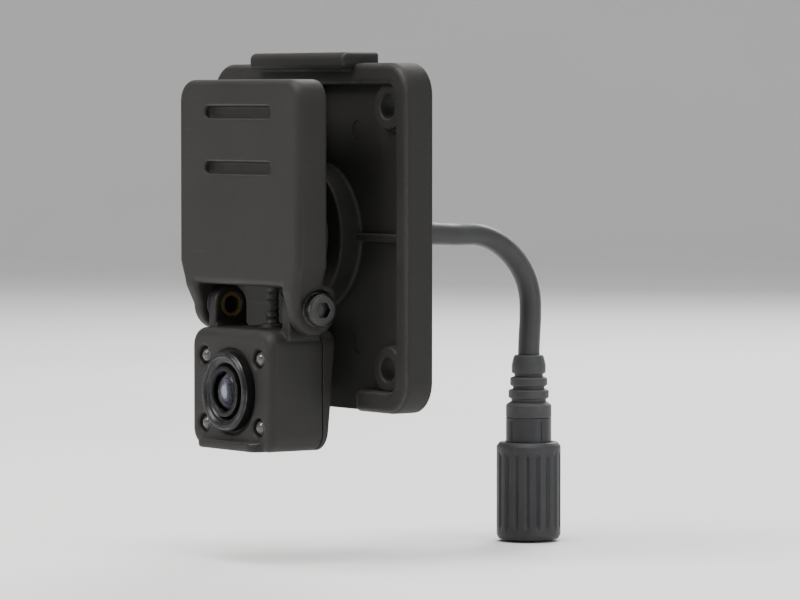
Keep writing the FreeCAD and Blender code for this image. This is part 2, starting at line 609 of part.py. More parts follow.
def threaded_inserts():
    insert = cut(rod(2.3, LUG_IN, LUG_OUT, PIVOT_D, PIVOT_Z), rod(SCREW_R + 0.05, 10, 15, PIVOT_D, PIVOT_Z))
    return mirrored_pair(insert)


def friction_washers():
    washer = cut(rod(3.5, LUG_OUT + 0.05, ARM_IN - 0.05, PIVOT_D, PIVOT_Z),
                 rod(SCREW_R + 0.1, 12, 15, PIVOT_D, PIVOT_Z))
    return mirrored_pair(washer)


def spring_washers():
    washer = cut(rod(3.1, ARM_OUT, ARM_OUT + 0.5, PIVOT_D, PIVOT_Z), rod(SCREW_R + 0.1, 16, 19, PIVOT_D, PIVOT_Z))
    split = box(ARM_OUT - 1, ARM_OUT + 1, PIVOT_D - 0.25, PIVOT_D + 0.25, PIVOT_Z - 4, PIVOT_Z)
    return mirrored_pair(cut(washer, split))


def tilt_screw():
    """The screw on the +X side. A six-sided socket in its head takes the key that frees and locks the tilt."""
    head_in, head_out = ARM_OUT + 0.5, ARM_OUT + 2.4
    head = rod(3.1, head_in, head_out, PIVOT_D, PIVOT_Z)
    head = head.makeFillet(0.5, [e for e in head.Edges if abs(e.BoundBox.XMin - head_out) < 1e-6])
    key_r = 1.5
    corners = [point(head_out - 1.2, PIVOT_D + key_r * math.cos(math.radians(60 * i)),
                     PIVOT_Z + key_r * math.sin(math.radians(60 * i))) for i in range(6)]
    return cut(fuse(head, rod(SCREW_R, LUG_IN + 0.3, head_in + 0.2, PIVOT_D, PIVOT_Z)), prism(corners, RIGHT * 3))


def tilt_screw_right():
    return tilt_screw()


def tilt_screw_left():
    return tilt_screw().mirror(V(0, 0, 0), RIGHT)


def link_sleeve():
    """Short rubber-covered cable from the housing into the head, close to the tilt axis so that it only bends."""
    return Part.makeCylinder(SLEEVE_R, SLEEVE_TOP - SLEEVE_END, point(0, SLEEVE_D, SLEEVE_END), UP)


# ---- lens and sensor ----------------------------------------------------------------------------------------------
def lens_bezel():
    """Raised ring round the lens, with a bevelled inner edge."""
    return turned([(4.95, HEAD_FRONT - 0.5), (7.4, HEAD_FRONT - 0.5), (7.4, 24.3), (6.9, 24.8), (6.3, 24.8),
                   (4.95, 23.6)], 0, LENS_Z)


def lens_barrel():
    return turned([(2.5, 15.7), (4.7, 15.7), (4.7, 24.2), (4.15, 24.2), (4.15, 22.2), (3.2, 22.2), (3.2, 16.5),
                   (2.5, 16.5)], 0, LENS_Z)


def front_lens():
    return lens(4.1, 22.25, 23.2, 1.0, 1.75)


def middle_lens():
    return lens(3.15, 20.3, 20.95, 0.5, 0.6)


def rear_lens():
    return lens(3.15, 16.5, 17.7, 0, 0.9)


def lens_retaining_ring():
    return turned([(3.75, 23.62), (4.1, 23.3), (4.1, 24.2), (4.65, 24.2), (4.65, 24.6), (3.75, 24.6)], 0, LENS_Z)


def lens_spacers():
    """Rings that hold the elements apart inside the barrel, bevelled where they sit on a curved face."""
    return group(*[turned([(2.85, back + bevel), (3.15, back), (3.15, front), (2.85, front)], 0, LENS_Z)
                   for back, front, bevel in ((17.7, 18.9, 0.2), (19.1, 20.3, 0), (20.95, 22.2, 0.13))])


def aperture_stop():
    return turned([(1.2, 18.9), (3.15, 18.9), (3.15, 19.1), (1.35, 19.1)], 0, LENS_Z)


def lens_seal():
    return turned([(4.75, 20.4), (6.2, 20.4), (6.2, 21.2), (4.75, 21.2)], 0, LENS_Z)


def square_plate(side, d0, d1):
    return rounded_plate(side, LENS_Z - side / 2, LENS_Z + side / 2, 0.6, d0, d1)


def lens_holder():
    body = fuse(square_plate(13.2, BOARD_FACE, 15.4), disc(6.3, BOARD_FACE, 20.4, 0, LENS_Z))
    return cut(body, square_plate(9.0, 12, 14.5), square_plate(6.6, 12, 15.05), disc(2.9, 12, 16, 0, LENS_Z),
               disc(4.72, 15.6, 21, 0, LENS_Z))


def infrared_filter():
    return square_plate(6.4, 14.6, 15.0)


def image_sensor():
    package = box(-3.2, 3.2, BOARD_FACE, BOARD_FACE + 0.9, LENS_Z - 2.9, LENS_Z + 2.9)
    return cut(package, box(-2.4, 2.4, BOARD_FACE + 0.75, 15, LENS_Z - 1.9, LENS_Z + 1.9))


def sensor_board():
    board = rounded_plate(16.8, LENS_Z - 8.4, LENS_Z + 8.4, 1.0, BOARD_FACE - 1, BOARD_FACE)
    chips = [box(-5, -1.4, BOARD_FACE - 1.7, BOARD_FACE - 0.9, LENS_Z - 1, LENS_Z + 2.6),
             box(1.5, 5.2, BOARD_FACE - 1.6, BOARD_FACE - 0.9, LENS_Z - 3.5, LENS_Z - 0.5)]
    return fuse(board, *chips)


def led_board():
    board = rounded_plate(22.6, LENS_Z - 8.7, LENS_Z + 8.7, 1.6, 16.6, 17.6)
    notches = [disc(2.1, 16, 18, sx * HEAD_SCREW_X, LENS_Z) for sx in (-1, 1)]
    notches += [box(sx * 12 - 1.4, sx * 12 + 1.4, 16, 18, LENS_Z - 2.1, LENS_Z + 2.1) for sx in (-1, 1)]
    return cut(board, disc(6.5, 16, 18, 0, LENS_Z), *notches)


def illuminator_leds():
    leds = []
    for x, z in LED_OFFSETS:
        body = turned([(0, 17.6), (1.8, 17.6), (1.8, 18.4), (1.5, 18.4), (1.5, 21.7), (1.35, 22.3), (0.95, 22.8),
                       (0.4, 23.0), (0, 23.0)], x, z)
        leds.append(body)
    return group(*leds)


# ---- the whole camera ---------------------------------------------------------------------------------------------
PIECES = [mounting_frame, frame_gasket, stem_nut, stem_washer, stem_seal, rear_housing, front_cover, housing_seal,
          vent_plug, housing_screws, main_board, board_screws, video_processor, memory_chip, filter_capacitors,
          power_inductor, clock_crystal, cable_header, lead_wires, upper_head_leads, strain_relief, cable,
          plug_boot, plug_body, plug_insulator, plug_pins, plug_seal, coupling_ring, head_shell, head_cover,
          head_seal, head_screws, threaded_inserts, friction_washers, spring_washers, tilt_screw_left,
          tilt_screw_right, link_sleeve, lens_bezel, lens_barrel, front_lens, lens_retaining_ring, middle_lens,
          rear_lens, lens_spacers, aperture_stop, lens_seal, lens_holder, infrared_filter, image_sensor,
          sensor_board, sensor_leads, led_board, illuminator_leds]


def main():
    os.makedirs("parts", exist_ok=True)
    for piece in PIECES:
        shape = piece()
        solids = shape.Solids
        if not solids or not shape.isValid():
            raise ValueError(f"{piece.__name__} has no valid solid")
        whole = solids[0] if len(solids) == 1 else Part.makeCompound(solids)
        whole.exportStep(f"parts/{piece.__name__}.step")


main()
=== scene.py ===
"""Looks of the bumper backup camera: housings, tilting head with lens and lights, cable and plug.

Lengths in the shape code are millimetres and become metres as each vertex is made. Places on the front
are given as x to the right, z up and a depth d in front of the bumper, so y = -d.
"""

import bmesh
import bpy
import json
import math
from mathutils import Matrix, Vector
import numpy as np


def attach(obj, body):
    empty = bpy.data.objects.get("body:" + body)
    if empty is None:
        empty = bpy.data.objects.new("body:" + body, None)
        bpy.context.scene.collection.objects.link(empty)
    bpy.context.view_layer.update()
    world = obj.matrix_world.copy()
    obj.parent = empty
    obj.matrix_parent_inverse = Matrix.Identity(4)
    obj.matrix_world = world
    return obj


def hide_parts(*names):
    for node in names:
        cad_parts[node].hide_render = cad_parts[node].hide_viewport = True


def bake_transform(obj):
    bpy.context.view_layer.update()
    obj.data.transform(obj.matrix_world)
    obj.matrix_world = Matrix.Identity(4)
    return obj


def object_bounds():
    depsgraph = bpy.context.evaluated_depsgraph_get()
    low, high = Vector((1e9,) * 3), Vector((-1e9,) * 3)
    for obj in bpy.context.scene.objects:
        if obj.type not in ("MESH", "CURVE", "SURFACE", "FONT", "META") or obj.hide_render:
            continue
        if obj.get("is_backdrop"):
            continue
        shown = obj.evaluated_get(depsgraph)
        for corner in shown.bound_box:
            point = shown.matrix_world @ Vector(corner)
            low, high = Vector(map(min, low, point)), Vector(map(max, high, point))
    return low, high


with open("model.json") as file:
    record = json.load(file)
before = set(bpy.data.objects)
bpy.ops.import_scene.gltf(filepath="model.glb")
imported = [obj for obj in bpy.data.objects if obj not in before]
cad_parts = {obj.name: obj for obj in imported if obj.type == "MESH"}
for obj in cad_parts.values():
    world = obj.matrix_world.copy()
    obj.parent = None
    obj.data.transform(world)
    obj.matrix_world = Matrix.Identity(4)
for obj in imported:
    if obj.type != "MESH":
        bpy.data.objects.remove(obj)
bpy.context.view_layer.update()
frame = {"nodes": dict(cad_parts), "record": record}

MM = 0.001


def four(x, z):
    """The places x to either side of the middle and z below and above it."""
    return [(side * x, end * z) for side in (-1, 1) for end in (-1, 1)]


# Mounting frame: a square plate with a raised rim.
FRAME_HALF = 32.0
FRAME_CORNER_R = 6.0
RIM_D = 6.0
RIM_WIDE = 4.0
FLOOR_D = 3.0
BASE_D = 1.0
DRAIN_HALF = 15.5
HOLES = four(24.0, 24.0)
HOLE_R = 2.25
HUB_R = 13.5
HUB_D = 7.5
HUB_BORE_R = 7.2
NUT_WELL_R = 11.2
LIP_HALF = 15.5

# Stem, nut and seal on the middle line, where x = z = 0.
STEM_R = 7.0
STEM_SHOULDER_R = 9.5
NUT_HALF = 9.0
THREAD_PITCH = 1.25

# Electronics housing: rear half and front cover.
COVER_HALF = 20.0
COVER_LOW = -9.0
COVER_TOP = 29.0
COVER_BACK_D = 15.0
COVER_FRONT_D = 21.5
REAR_BACK_D = 10.5
HOUSING_SCREWS = [(x, 10.0 + z) for x, z in four(16.3, 15.0)]
HOUSING_SCREW_R = 1.75

# Fork arms and tilt axis, which runs along X.
PIVOT_D = 15.5
PIVOT_Z = -13.0
ARM_INNER = 14.1
ARM_OUTER = 17.1
ARM_END_R = 4.8
TILT_SCREW_R = 3.1
TILT_HEAD_OUTER = 19.5
TILT_HEAD_INNER = 17.6

# Link cable between the housing and the head.
LINK_D = 13.5
LINK_TOP = -4.05
LINK_LONG = 15.55

# Camera head.
HEAD_WIDE = 27.0
HEAD_LOW = -39.3
HEAD_TOP = -17.0
HEAD_CORNER_R = 3.5
HEAD_FRONT_D = 23.0
HEAD_SPLIT_D = 11.55
HEAD_BACK_D = 8.0
LENS_Z = -28.5
LIGHT_PLACES = [(x, LENS_Z + z) for x, z in four(9.0, 6.3)]
HEAD_SCREWS = [(-10.6, LENS_Z), (10.6, LENS_Z)]
HEAD_SCREW_R = 1.5
HEAD_LIP_HALF = 10.0
HEAD_LIP_D = 24.6

# Cable and plug. The plug hangs upright at y = PLUG_Y.
CABLE_R = 2.1
CABLE_BORE_R = 2.15
CABLE_BEND_R = 14.0
PLUG_Y = 46.0
PLUG_R = 4.4
PLUG_LAND_R = 4.6
RING_R = 6.2
RING_TOP = -40.8
RING_BOTTOM = -59.5


# ---- outlines ----
def corner_arc(before, corner, after, radius, off, steps):
    """Points of one rounded corner of an anticlockwise outline moved outward by off, with edge weights."""
    d1 = (corner - before).normalized()
    d2 = (after - corner).normalized()
    n1 = Vector((d1.y, -d1.x))
    n2 = Vector((d2.y, -d2.x))
    turn = math.atan2(d1.x * d2.y - d1.y * d2.x, d1.dot(d2))
    moved = corner + (n1 + n2) * off / (1 + n1.dot(n2))
    if abs(turn) < 1e-4:
        return [(moved.x, moved.y, 0.0)]
    side = 1 if turn > 0 else -1
    r = max(radius + side * off, 0.01)
    start = moved - d1 * r * math.tan(abs(turn) / 2)
    spoke = n1 * r * side
    centre = start - spoke
    points = []
    for k in range(steps + 1):
        c = math.cos(turn * k / steps)
        s = math.sin(turn * k / steps)
        weight = math.sin(math.pi * k / steps) if radius > 0.05 else 0.0
        points.append((centre.x + spoke.x * c - spoke.y * s, centre.y + spoke.x * s + spoke.y * c, weight))
    return points


def outline(points, radii, steps=6):
    """A closed outline with round corners, as a function of how far it is moved outward."""
    corners = [Vector(p) for p in points]
    if isinstance(radii, (int, float)):
        radii = [radii] * len(corners)
    radii = list(radii)
    area = sum(a.x * b.y - a.y * b.x for a, b in zip(corners, corners[1:] + corners[:1]))
    if area < 0:
        corners.reverse()
        radii.reverse()

    def moved_outward(off=0.0):
        found = []
        for i, corner in enumerate(corners):
            after = corners[(i + 1) % len(corners)]
            found += corner_arc(corners[i - 1], corner, after, radii[i], off, steps)
        return found
    return moved_outward


def box(x0, z0, x1, z1, radii, steps=6):
    """A rectangle between two corners, with radii from the first corner on, round through (x1, z0)."""
    return outline([(x0, z0), (x1, z0), (x1, z1), (x0, z1)], radii, steps)


def rectangle(width, low, high, radius, steps=6):
    return box(-width / 2, low, width / 2, high, radius, steps)


def circle(radius, x=0.0, z=0.0, steps=48):
    def moved_outward(off=0.0):
        turns = [2 * math.pi * i / steps for i in range(steps)]
        return [(x + (radius + off) * math.cos(t), z + (radius + off) * math.sin(t), 0.0) for t in turns]
    return moved_outward


def knurled(radius, teeth, depth):
    """A circle with small teeth, as on the rim of a cap screw."""
    def moved_outward(off=0.0):
        points = []
        for i in range(teeth * 4):
            t = 2 * math.pi * i / (teeth * 4)
            r = radius + off - depth * (0.5 - 0.5 * math.cos(teeth * t))
            points.append((r * math.cos(t), r * math.sin(t), 0.0))
        return points
    return moved_outward


def hexagon(inner_radius):
    outer = inner_radius / math.cos(math.pi / 6)
    turns = [i * math.pi / 3 for i in range(6)]
    return outline([(outer * math.cos(t), outer * math.sin(t)) for t in turns], 0.1, 3)


def cross(arm, half, x, z):
    corners = [(half, -arm), (half, -half), (arm, -half), (arm, half), (half, half), (half, arm)]
    corners += [(-u, -v) for u, v in corners]
    return outline([(x + u, z + v) for u, v in corners], 0.05, 2)


# ---- where outlines lie in space ----
def front(u, v, w):
    """u runs along x, v along z, and w is the depth."""
    return (u * MM, -w * MM, v * MM)


def across(u, v, w):
    """u is depth, v is height and w runs along X."""
    return (w * MM, -u * MM, v * MM)


def round_pivot(u, v, w):
    """The same about the tilt axis."""
    return (w * MM, -(PIVOT_D + u) * MM, (PIVOT_Z + v) * MM)


def at(x, z):
    """As front, about a place on the front."""
    return lambda u, v, w: ((x + u) * MM, -w * MM, (z + v) * MM)


def upright(x, y):
    """About an upright axis: u runs along x, v along y and w along z."""
    return lambda u, v, w: ((x + u) * MM, (y + v) * MM, w * MM)


# ---- mesh builder ----
def mesh_from(bm, name):
    mesh = bpy.data.meshes.new(name)
    bm.to_mesh(mesh)
    bm.free()
    return mesh


def in_scene(name, data):
    made = bpy.data.objects.new(name, data)
    bpy.context.scene.collection.objects.link(made)
    return made


class Build:
    """Collects closed shells into one mesh. A vertex has an edge weight, which is 1 amid a rounding."""

    def __init__(self):
        self.bm = bmesh.new()
        self.edge = self.bm.verts.layers.float.new("edge")

    def bridge(self, a, b):
        for i in range(len(a)):
            j = (i + 1) % len(a)
            quad = [a[i], a[j], b[j], b[i]]
            kept = [v for k, v in enumerate(quad) if v not in quad[:k]]
            if len(kept) > 2:
                self.bm.faces.new(kept)

    def fill(self, loops):
        if len(loops) == 1:
            self.bm.faces.new(loops[0])
            return
        edges = []
        for verts in loops:
            for i, v in enumerate(verts):
                other = verts[(i + 1) % len(verts)]
                edges.append(self.bm.edges.get((v, other)) or self.bm.edges.new((v, other)))
        bmesh.ops.triangle_fill(self.bm, use_beauty=True, use_dissolve=False, edges=edges)

    def wall(self, shape, steps, place):
        """A wall through (off, w, weight) steps of one outline. Returns its first and last loop."""
        loops = []
        for off, w, weight in steps:
            loops.append([self.bm.verts.new(place(u, v, w)) for u, v, _ in shape(off)])
            for vert in loops[-1]:
                vert[self.edge] = weight
        for a, b in zip(loops, loops[1:]):
            self.bridge(a, b)
        return loops[0], loops[-1]

    def slab(self, place, outer, a, b, ra, rb, holes=(), pits=(), back_pits=(), n=4):
        """A plate from a to b with rounded edges.

        Holes go through it and are (outline, back radius, front radius). Pits are blind, in its front or
        back, and are (outline, depth, edge radius, floor radius).
        """
        quarter = [math.pi / 2 * k / n for k in range(n + 1)]

        def rounding(out, r, level, inward):
            """Steps from a flat face at some level round into the wall beside it."""
            return [(out * r * (1 - math.sin(t)), level + inward * r * (1 - math.cos(t)), math.sin(2 * t))
                    for t in quarter]

        lows, highs = [], []
        for shape, r0, r1, out in [(outer, ra, rb, -1)] + [(*hole, 1) for hole in holes]:
            low, high = self.wall(shape, rounding(out, r0, a, 1) + rounding(out, r1, b, -1)[::-1], place)
            lows.append(low)
            highs.append(high)
        for group, face, inward, caps in ((pits, b, -1, highs), (back_pits, a, 1, lows)):
            for shape, depth, r_edge, r_floor in group:
                below = rounding(-1, r_floor, face + inward * depth, -inward)[::-1]
                steps = rounding(1, r_edge, face, inward) + [(off, w, 0.0) for off, w, _ in below]
                mouth, bottom = self.wall(shape, steps, place)
                caps.append(mouth)
                self.fill([bottom])
        self.fill(lows)
        self.fill(highs)

    def lathe(self, place, profile, radii=None, steps=64, shape=None, arc=4):
        """Turns a profile of (radius, w) about the w axis. shape(radius, w, angle) can change the radius.

        With radii the profile is closed and has round corners. Without, it is open and stays as it is.
        """
        points = [(r, w, 0.0) for r, w in profile] if radii is None else outline(profile, radii, arc)()
        rings = []
        for r, w, e in points:
            if r < 1e-4:
                pole = self.bm.verts.new(place(0, 0, w))
                rings.append([pole] * steps)
                continue
            ring = []
            for i in range(steps):
                turn = 2 * math.pi * i / steps
                radius = shape(r, w, turn) if shape else r
                vert = self.bm.verts.new(place(radius * math.cos(turn), radius * math.sin(turn), w))
                vert[self.edge] = e
                ring.append(vert)
            rings.append(ring)
        if radii is not None:
            rings.append(rings[0])
        for a, b in zip(rings, rings[1:]):
            self.bridge(a, b)

    def tube(self, path, radius, sides):
        """A round rod along a path of points in millimetres, closed at both ends."""
        path = [Vector(p) for p in path]
        tangent = (path[1] - path[0]).normalized()
        normal = tangent.orthogonal().normalized()
        rings = []
        for i, centre in enumerate(path):
            along = (path[min(i + 1, len(path) - 1)] - path[max(i - 1, 0)]).normalized()
            normal = (normal - along * normal.dot(along)).normalized()
            side = along.cross(normal)
            r = radius(i / (len(path) - 1)) if callable(radius) else radius
            turns = [2 * math.pi * k / sides for k in range(sides)]
            rings.append([centre + (normal * math.cos(t) + side * math.sin(t)) * r for t in turns])
        self.loft(rings)

    def loft(self, rings):
        """A skin through rings of points in millimetres, closed at both ends."""
        loops = [[self.bm.verts.new(Vector(p) * MM) for p in ring] for ring in rings]
        for a, b in zip(loops, loops[1:]):
            self.bridge(a, b)
        self.fill([loops[0]])
        self.fill([loops[-1]])

    def bend(self, change):
        """Moves every vertex from (x, depth, z) to change(x, depth, z), in millimetres."""
        for vert in self.bm.verts:
            x, d, z = change(vert.co.x / MM, -vert.co.y / MM, vert.co.z / MM)
            vert.co = (x * MM, -d * MM, z * MM)

    def mesh(self, name):
        bmesh.ops.recalc_face_normals(self.bm, faces=self.bm.faces)
        return mesh_from(self.bm, name)


def smooth_but_corners(mesh, sharpest):
    """Smooth shading, except over edges sharper than so many degrees."""
    mesh.polygons.foreach_set("use_smooth", [True] * len(mesh.polygons))
    mesh.set_sharp_from_angle(angle=math.radians(sharpest))


def piece(name, build, look, body, node=None, flat_faces=True):
    """Makes the collected shells into a shown piece, which stands for a CAD node if one is given."""
    mesh = build if isinstance(build, bpy.types.Mesh) else build.mesh(name)
    smooth_but_corners(mesh, 38.0)
    made = in_scene(name, mesh)
    mesh.materials.append(LOOKS[look])
    if flat_faces:
        weighted = made.modifiers.new("face normals", "WEIGHTED_NORMAL")
        weighted.keep_sharp = True
    if body:
        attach(made, body)
    if node:
        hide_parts(node)
    return made


def apply_steps(mesh, steps):
    """The mesh after a list of (modifier type, settings), with no modifier left on it."""
    holder = in_scene(mesh.name, mesh)
    for kind, settings in steps:
        step = holder.modifiers.new(kind.lower(), kind)
        for key, value in settings.items():
            setattr(step, key, value)
    bpy.context.view_layer.update()
    result = bpy.data.meshes.new_from_object(holder.evaluated_get(bpy.context.evaluated_depsgraph_get()))
    bpy.data.objects.remove(holder)
    return result


def carved(build, cutters, name):
    """The collected shells with other shells cut away."""
    tools = [in_scene(name + "_tool", cutter.mesh(name + "_tool")) for cutter in cutters]
    steps = [("BOOLEAN", {"operation": "DIFFERENCE", "solver": "EXACT", "object": tool}) for tool in tools]
    result = apply_steps(build.mesh(name), steps)
    for tool in tools:
        bpy.data.objects.remove(tool)
    return result


def moulded_as_one(meshes, name, voxel, soften=4):
    """Overlapping shells joined into one skin, with soft inner corners and edge weights from curvature."""
    joined = bmesh.new()
    for mesh in meshes:
        joined.from_mesh(mesh)
    whole = apply_steps(mesh_from(joined, name), [("REMESH", {"mode": "VOXEL", "voxel_size": voxel * MM}),
                                                  ("SMOOTH", {"factor": 0.5, "iterations": soften})])
    weigh_edges(whole)
    return whole


def weigh_edges(mesh, gentle=0.12, sharp=0.55, spread=2):
    """Stores how much each vertex stands on an outer edge, from its mean curvature in 1/mm."""
    count = len(mesh.vertices)
    places, normals = np.empty(count * 3), np.empty(count * 3)
    mesh.vertices.foreach_get("co", places)
    mesh.vertex_normals.foreach_get("vector", normals)
    places, normals = places.reshape(-1, 3) / MM, normals.reshape(-1, 3)
    ends = np.empty(len(mesh.edges) * 2, dtype=np.int32)
    mesh.edges.foreach_get("vertices", ends)
    a, b = ends[0::2], ends[1::2]
    apart = places[a] - places[b]
    length_2 = np.maximum((apart ** 2).sum(axis=1), 1e-9)
    bend_a = (apart * normals[a]).sum(axis=1) / length_2
    bend_b = -(apart * normals[b]).sum(axis=1) / length_2
    links = np.maximum(np.bincount(a, minlength=count) + np.bincount(b, minlength=count), 1)
    bend = (np.bincount(a, bend_a, count) + np.bincount(b, bend_b, count)) / links
    for _ in range(spread):
        around = np.bincount(a, bend[b], count) + np.bincount(b, bend[a], count)
        bend = 0.5 * bend + 0.5 * around / links
    layer = mesh.attributes.get("edge") or mesh.attributes.new("edge", "FLOAT", "POINT")
    layer.data.foreach_set("value", np.clip((bend - gentle) / (sharp - gentle), 0.0, 1.0))


# ---- materials ----
class Shader:
    """A material built from nodes, in the piece's own coordinates."""

    def __init__(self, name):
        self.material = bpy.data.materials.new(name)
        self.material.use_nodes = True
        self.tree = self.material.node_tree
        self.bsdf = self.tree.nodes["Principled BSDF"]
        self.place = self.tree.nodes.new("ShaderNodeTexCoord").outputs["Object"]

    def put(self, socket, value):
        if isinstance(value, bpy.types.NodeSocket):
            self.tree.links.new(value, socket)
        else:
            socket.default_value = value

    def node(self, kind, settings=None, **inputs):
        made = self.tree.nodes.new(kind)
        for key, value in (settings or {}).items():
            setattr(made, key, value)
        for key, value in inputs.items():
            self.put(made.inputs[key.replace("_", " ")], value)
        return made

    def noise(self, scale, detail=3.0, roughness=0.5, vector=None):
        return self.node("ShaderNodeTexNoise", Vector=vector or self.place, Scale=scale, Detail=detail,
                         Roughness=roughness).outputs["Fac"]

    def cells(self, scale):
        return self.node("ShaderNodeTexVoronoi", Vector=self.place, Scale=scale).outputs["Distance"]

    def calc(self, operation, a, b=0.0, clamp=False):
        made = self.tree.nodes.new("ShaderNodeMath")
        made.operation, made.use_clamp = operation, clamp
        self.put(made.inputs[0], a)
        self.put(made.inputs[1], b)
        return made.outputs[0]

    def times(self, a, b, clamp=False):
        return self.calc("MULTIPLY", a, b, clamp)

    def plus(self, a, b):
        return self.calc("ADD", a, b)

    def between(self, value, low, high, to_low=0.0, to_high=1.0):
        made = self.node("ShaderNodeMapRange", {"interpolation_type": "SMOOTHSTEP"})
        for socket, number in zip(made.inputs[:5], (value, low, high, to_low, to_high)):
            self.put(socket, number)
        return made.outputs[0]

    def mix(self, share, a, b):
        made = self.tree.nodes.new("ShaderNodeMix")
        made.data_type = "RGBA"
        self.put(made.inputs[0], share)
        self.put(made.inputs[6], a if isinstance(a, bpy.types.NodeSocket) else (*a, 1.0))
        self.put(made.inputs[7], b if isinstance(b, bpy.types.NodeSocket) else (*b, 1.0))
        return made.outputs[2]

    def bump(self, height, distance, strength):
        made = self.node("ShaderNodeBump", Height=height, Distance=distance, Strength=strength)
        return made.outputs["Normal"]

    def edge(self):
        return self.node("ShaderNodeAttribute", {"attribute_name": "edge"}).outputs["Fac"]

    def facing_up(self):
        split = self.node("ShaderNodeSeparateXYZ")
        self.put(split.inputs[0], self.node("ShaderNodeNewGeometry").outputs["Normal"])
        return split.outputs["Z"]

    def scratches(self, turn):
        """Thin scratches in one main direction, 1 in a scratch."""
        lines = self.node("ShaderNodeMapping", Vector=self.place, Rotation=(turn, 0.4 * turn, 1.3 * turn),
                          Scale=(60.0, 2600.0, 2600.0)).outputs[0]
        return self.between(self.noise(1.0, 2.0, 0.5, vector=lines), 0.7, 0.76)

    def stretched(self, x, y, z):
        return self.node("ShaderNodeMapping", Vector=self.place, Scale=(x, y, z)).outputs[0]

    def set(self, **inputs):
        for key, value in inputs.items():
            if isinstance(value, tuple) and len(value) == 3:
                value = (*value, 1.0)
            self.put(self.bsdf.inputs[key.replace("_", " ")], value)
        return self.material


def lighter(colour, factor, lift=0.0):
    return tuple(min(1.0, c * factor + lift) for c in colour)


def moulded(name, colour, rough=0.56, grain=1.8e-5, wear=0.35, dust=0.18):
    """Spark-textured plastic: fine grain, uneven sheen, scuffs, rubbed edges and dust on what faces up."""
    s = Shader(name)
    broad = s.noise(90.0, 4.0, 0.6)
    patch = s.noise(900.0, 6.0, 0.7)
    fine = s.noise(5200.0, 2.0, 0.55)
    pits = s.cells(3400.0)
    tone = s.mix(s.between(broad, 0.35, 0.65), lighter(colour, 0.9), lighter(colour, 1.1))
    tone = s.mix(s.times(s.between(fine, 0.45, 0.75), 0.35), tone, lighter(colour, 1.5, 0.004))
    rubbed = s.plus(s.calc("POWER", s.edge(), 2.5), s.times(patch, 0.9))
    rubbed = s.between(rubbed, 1.05, 1.5)
    tone = s.mix(s.times(rubbed, wear), tone, lighter(colour, 2.2, 0.024))
    scuff = s.calc("MAXIMUM", s.scratches(0.5), s.scratches(2.2))
    scuff = s.times(scuff, s.between(broad, 0.48, 0.62))
    tone = s.mix(s.times(scuff, 0.2), tone, lighter(colour, 2.0, 0.015))
    settled = s.times(s.between(s.facing_up(), 0.45, 0.95), s.between(patch, 0.35, 0.65))
    settled = s.times(settled, dust)
    tone = s.mix(settled, tone, (0.12, 0.112, 0.1))
    sheen = s.between(broad, 0.3, 0.7, rough - 0.05, rough + 0.07)
    sheen = s.calc("SUBTRACT", sheen, s.times(s.calc("MAXIMUM", rubbed, scuff), 0.14))
    sheen = s.plus(sheen, s.times(settled, 0.4))
    height = s.plus(s.times(fine, 0.7), s.times(pits, 0.6))
    height = s.calc("SUBTRACT", height, s.times(scuff, 0.5))
    return s.set(Base_Color=tone, Roughness=sheen, Normal=s.bump(height, grain, 0.8),
                 Specular_IOR_Level=0.24)


def rubber(name, colour, rough=0.62, grain=1e-5, bloom=0.25):
    """Soft rubber with a faint grey bloom and fine moulding texture."""
    s = Shader(name)
    cloud = s.noise(160.0, 5.0, 0.62)
    fine = s.noise(3800.0, 3.0, 0.6)
    tone = s.mix(s.times(s.between(cloud, 0.42, 0.7), bloom), colour, lighter(colour, 2.2, 0.03))
    tone = s.mix(s.times(s.edge(), 0.25), tone, lighter(colour, 1.9, 0.02))
    return s.set(Base_Color=tone, Roughness=s.between(cloud, 0.3, 0.75, rough - 0.08, rough + 0.1),
                 Normal=s.bump(fine, grain, 0.7), Specular_IOR_Level=0.38, Sheen_Weight=0.08)


def foam(name, colour):
    """Closed-cell foam: open cells along its cut faces, with painted shade in their hollows and lighter
    walls between them.
    """
    s = Shader(name)
    small, large = s.cells(2600.0), s.cells(1100.0)
    height = s.plus(s.times(small, 0.6), large)
    # Painted shade: darker in the hollows of the open cells, lighter on the walls between them.
    cell_hollow_shade = s.between(height, 0.15, 0.75)
    tone = s.mix(cell_hollow_shade, lighter(colour, 0.45), lighter(colour, 1.8, 0.01))
    return s.set(Base_Color=tone, Roughness=0.92, Normal=s.bump(height, 1.2e-4, 0.9),
                 Specular_IOR_Level=0.2)


def metal(name, colour, rough=0.3, lines=(900, 900, 900), stain=0.2):
    """Plated or turned metal with directional polishing lines and small stains."""
    s = Shader(name)
    polish = s.noise(6.0, 3.0, 0.6, vector=s.stretched(*lines))
    cloud = s.noise(380.0, 5.0, 0.6)
    tone = s.mix(s.between(polish, 0.3, 0.7), lighter(colour, 0.88), lighter(colour, 1.08))
    tone = s.mix(s.times(s.between(cloud, 0.55, 0.8), stain), tone, lighter(colour, 0.45))
    sheen = s.plus(s.between(polish, 0.3, 0.7, rough - 0.07, rough + 0.09),
                   s.times(s.between(cloud, 0.5, 0.8), stain))
    return s.set(Base_Color=tone, Metallic=1.0, Roughness=sheen, Normal=s.bump(polish, 4e-6, 0.6))


def anodised(name, colour, rough=0.34):
    """Black anodised aluminium with turned rings and bright rubbed edges."""
    s = Shader(name)
    rings = s.noise(5.0, 2.0, 0.5, vector=s.stretched(60.0, 5200.0, 60.0))
    cloud = s.noise(700.0, 4.0, 0.6)
    rubbed = s.times(s.edge(), s.between(cloud, 0.42, 0.62), clamp=True)
    tone = s.mix(s.between(rings, 0.35, 0.65), lighter(colour, 0.8), lighter(colour, 1.3))
    tone = s.mix(s.times(rubbed, 0.3), tone, (0.28, 0.28, 0.29))
    sheen = s.between(rings, 0.3, 0.7, rough - 0.06, rough + 0.1)
    return s.set(Base_Color=tone, Metallic=0.75, Roughness=sheen, Normal=s.bump(rings, 5e-6, 0.8))


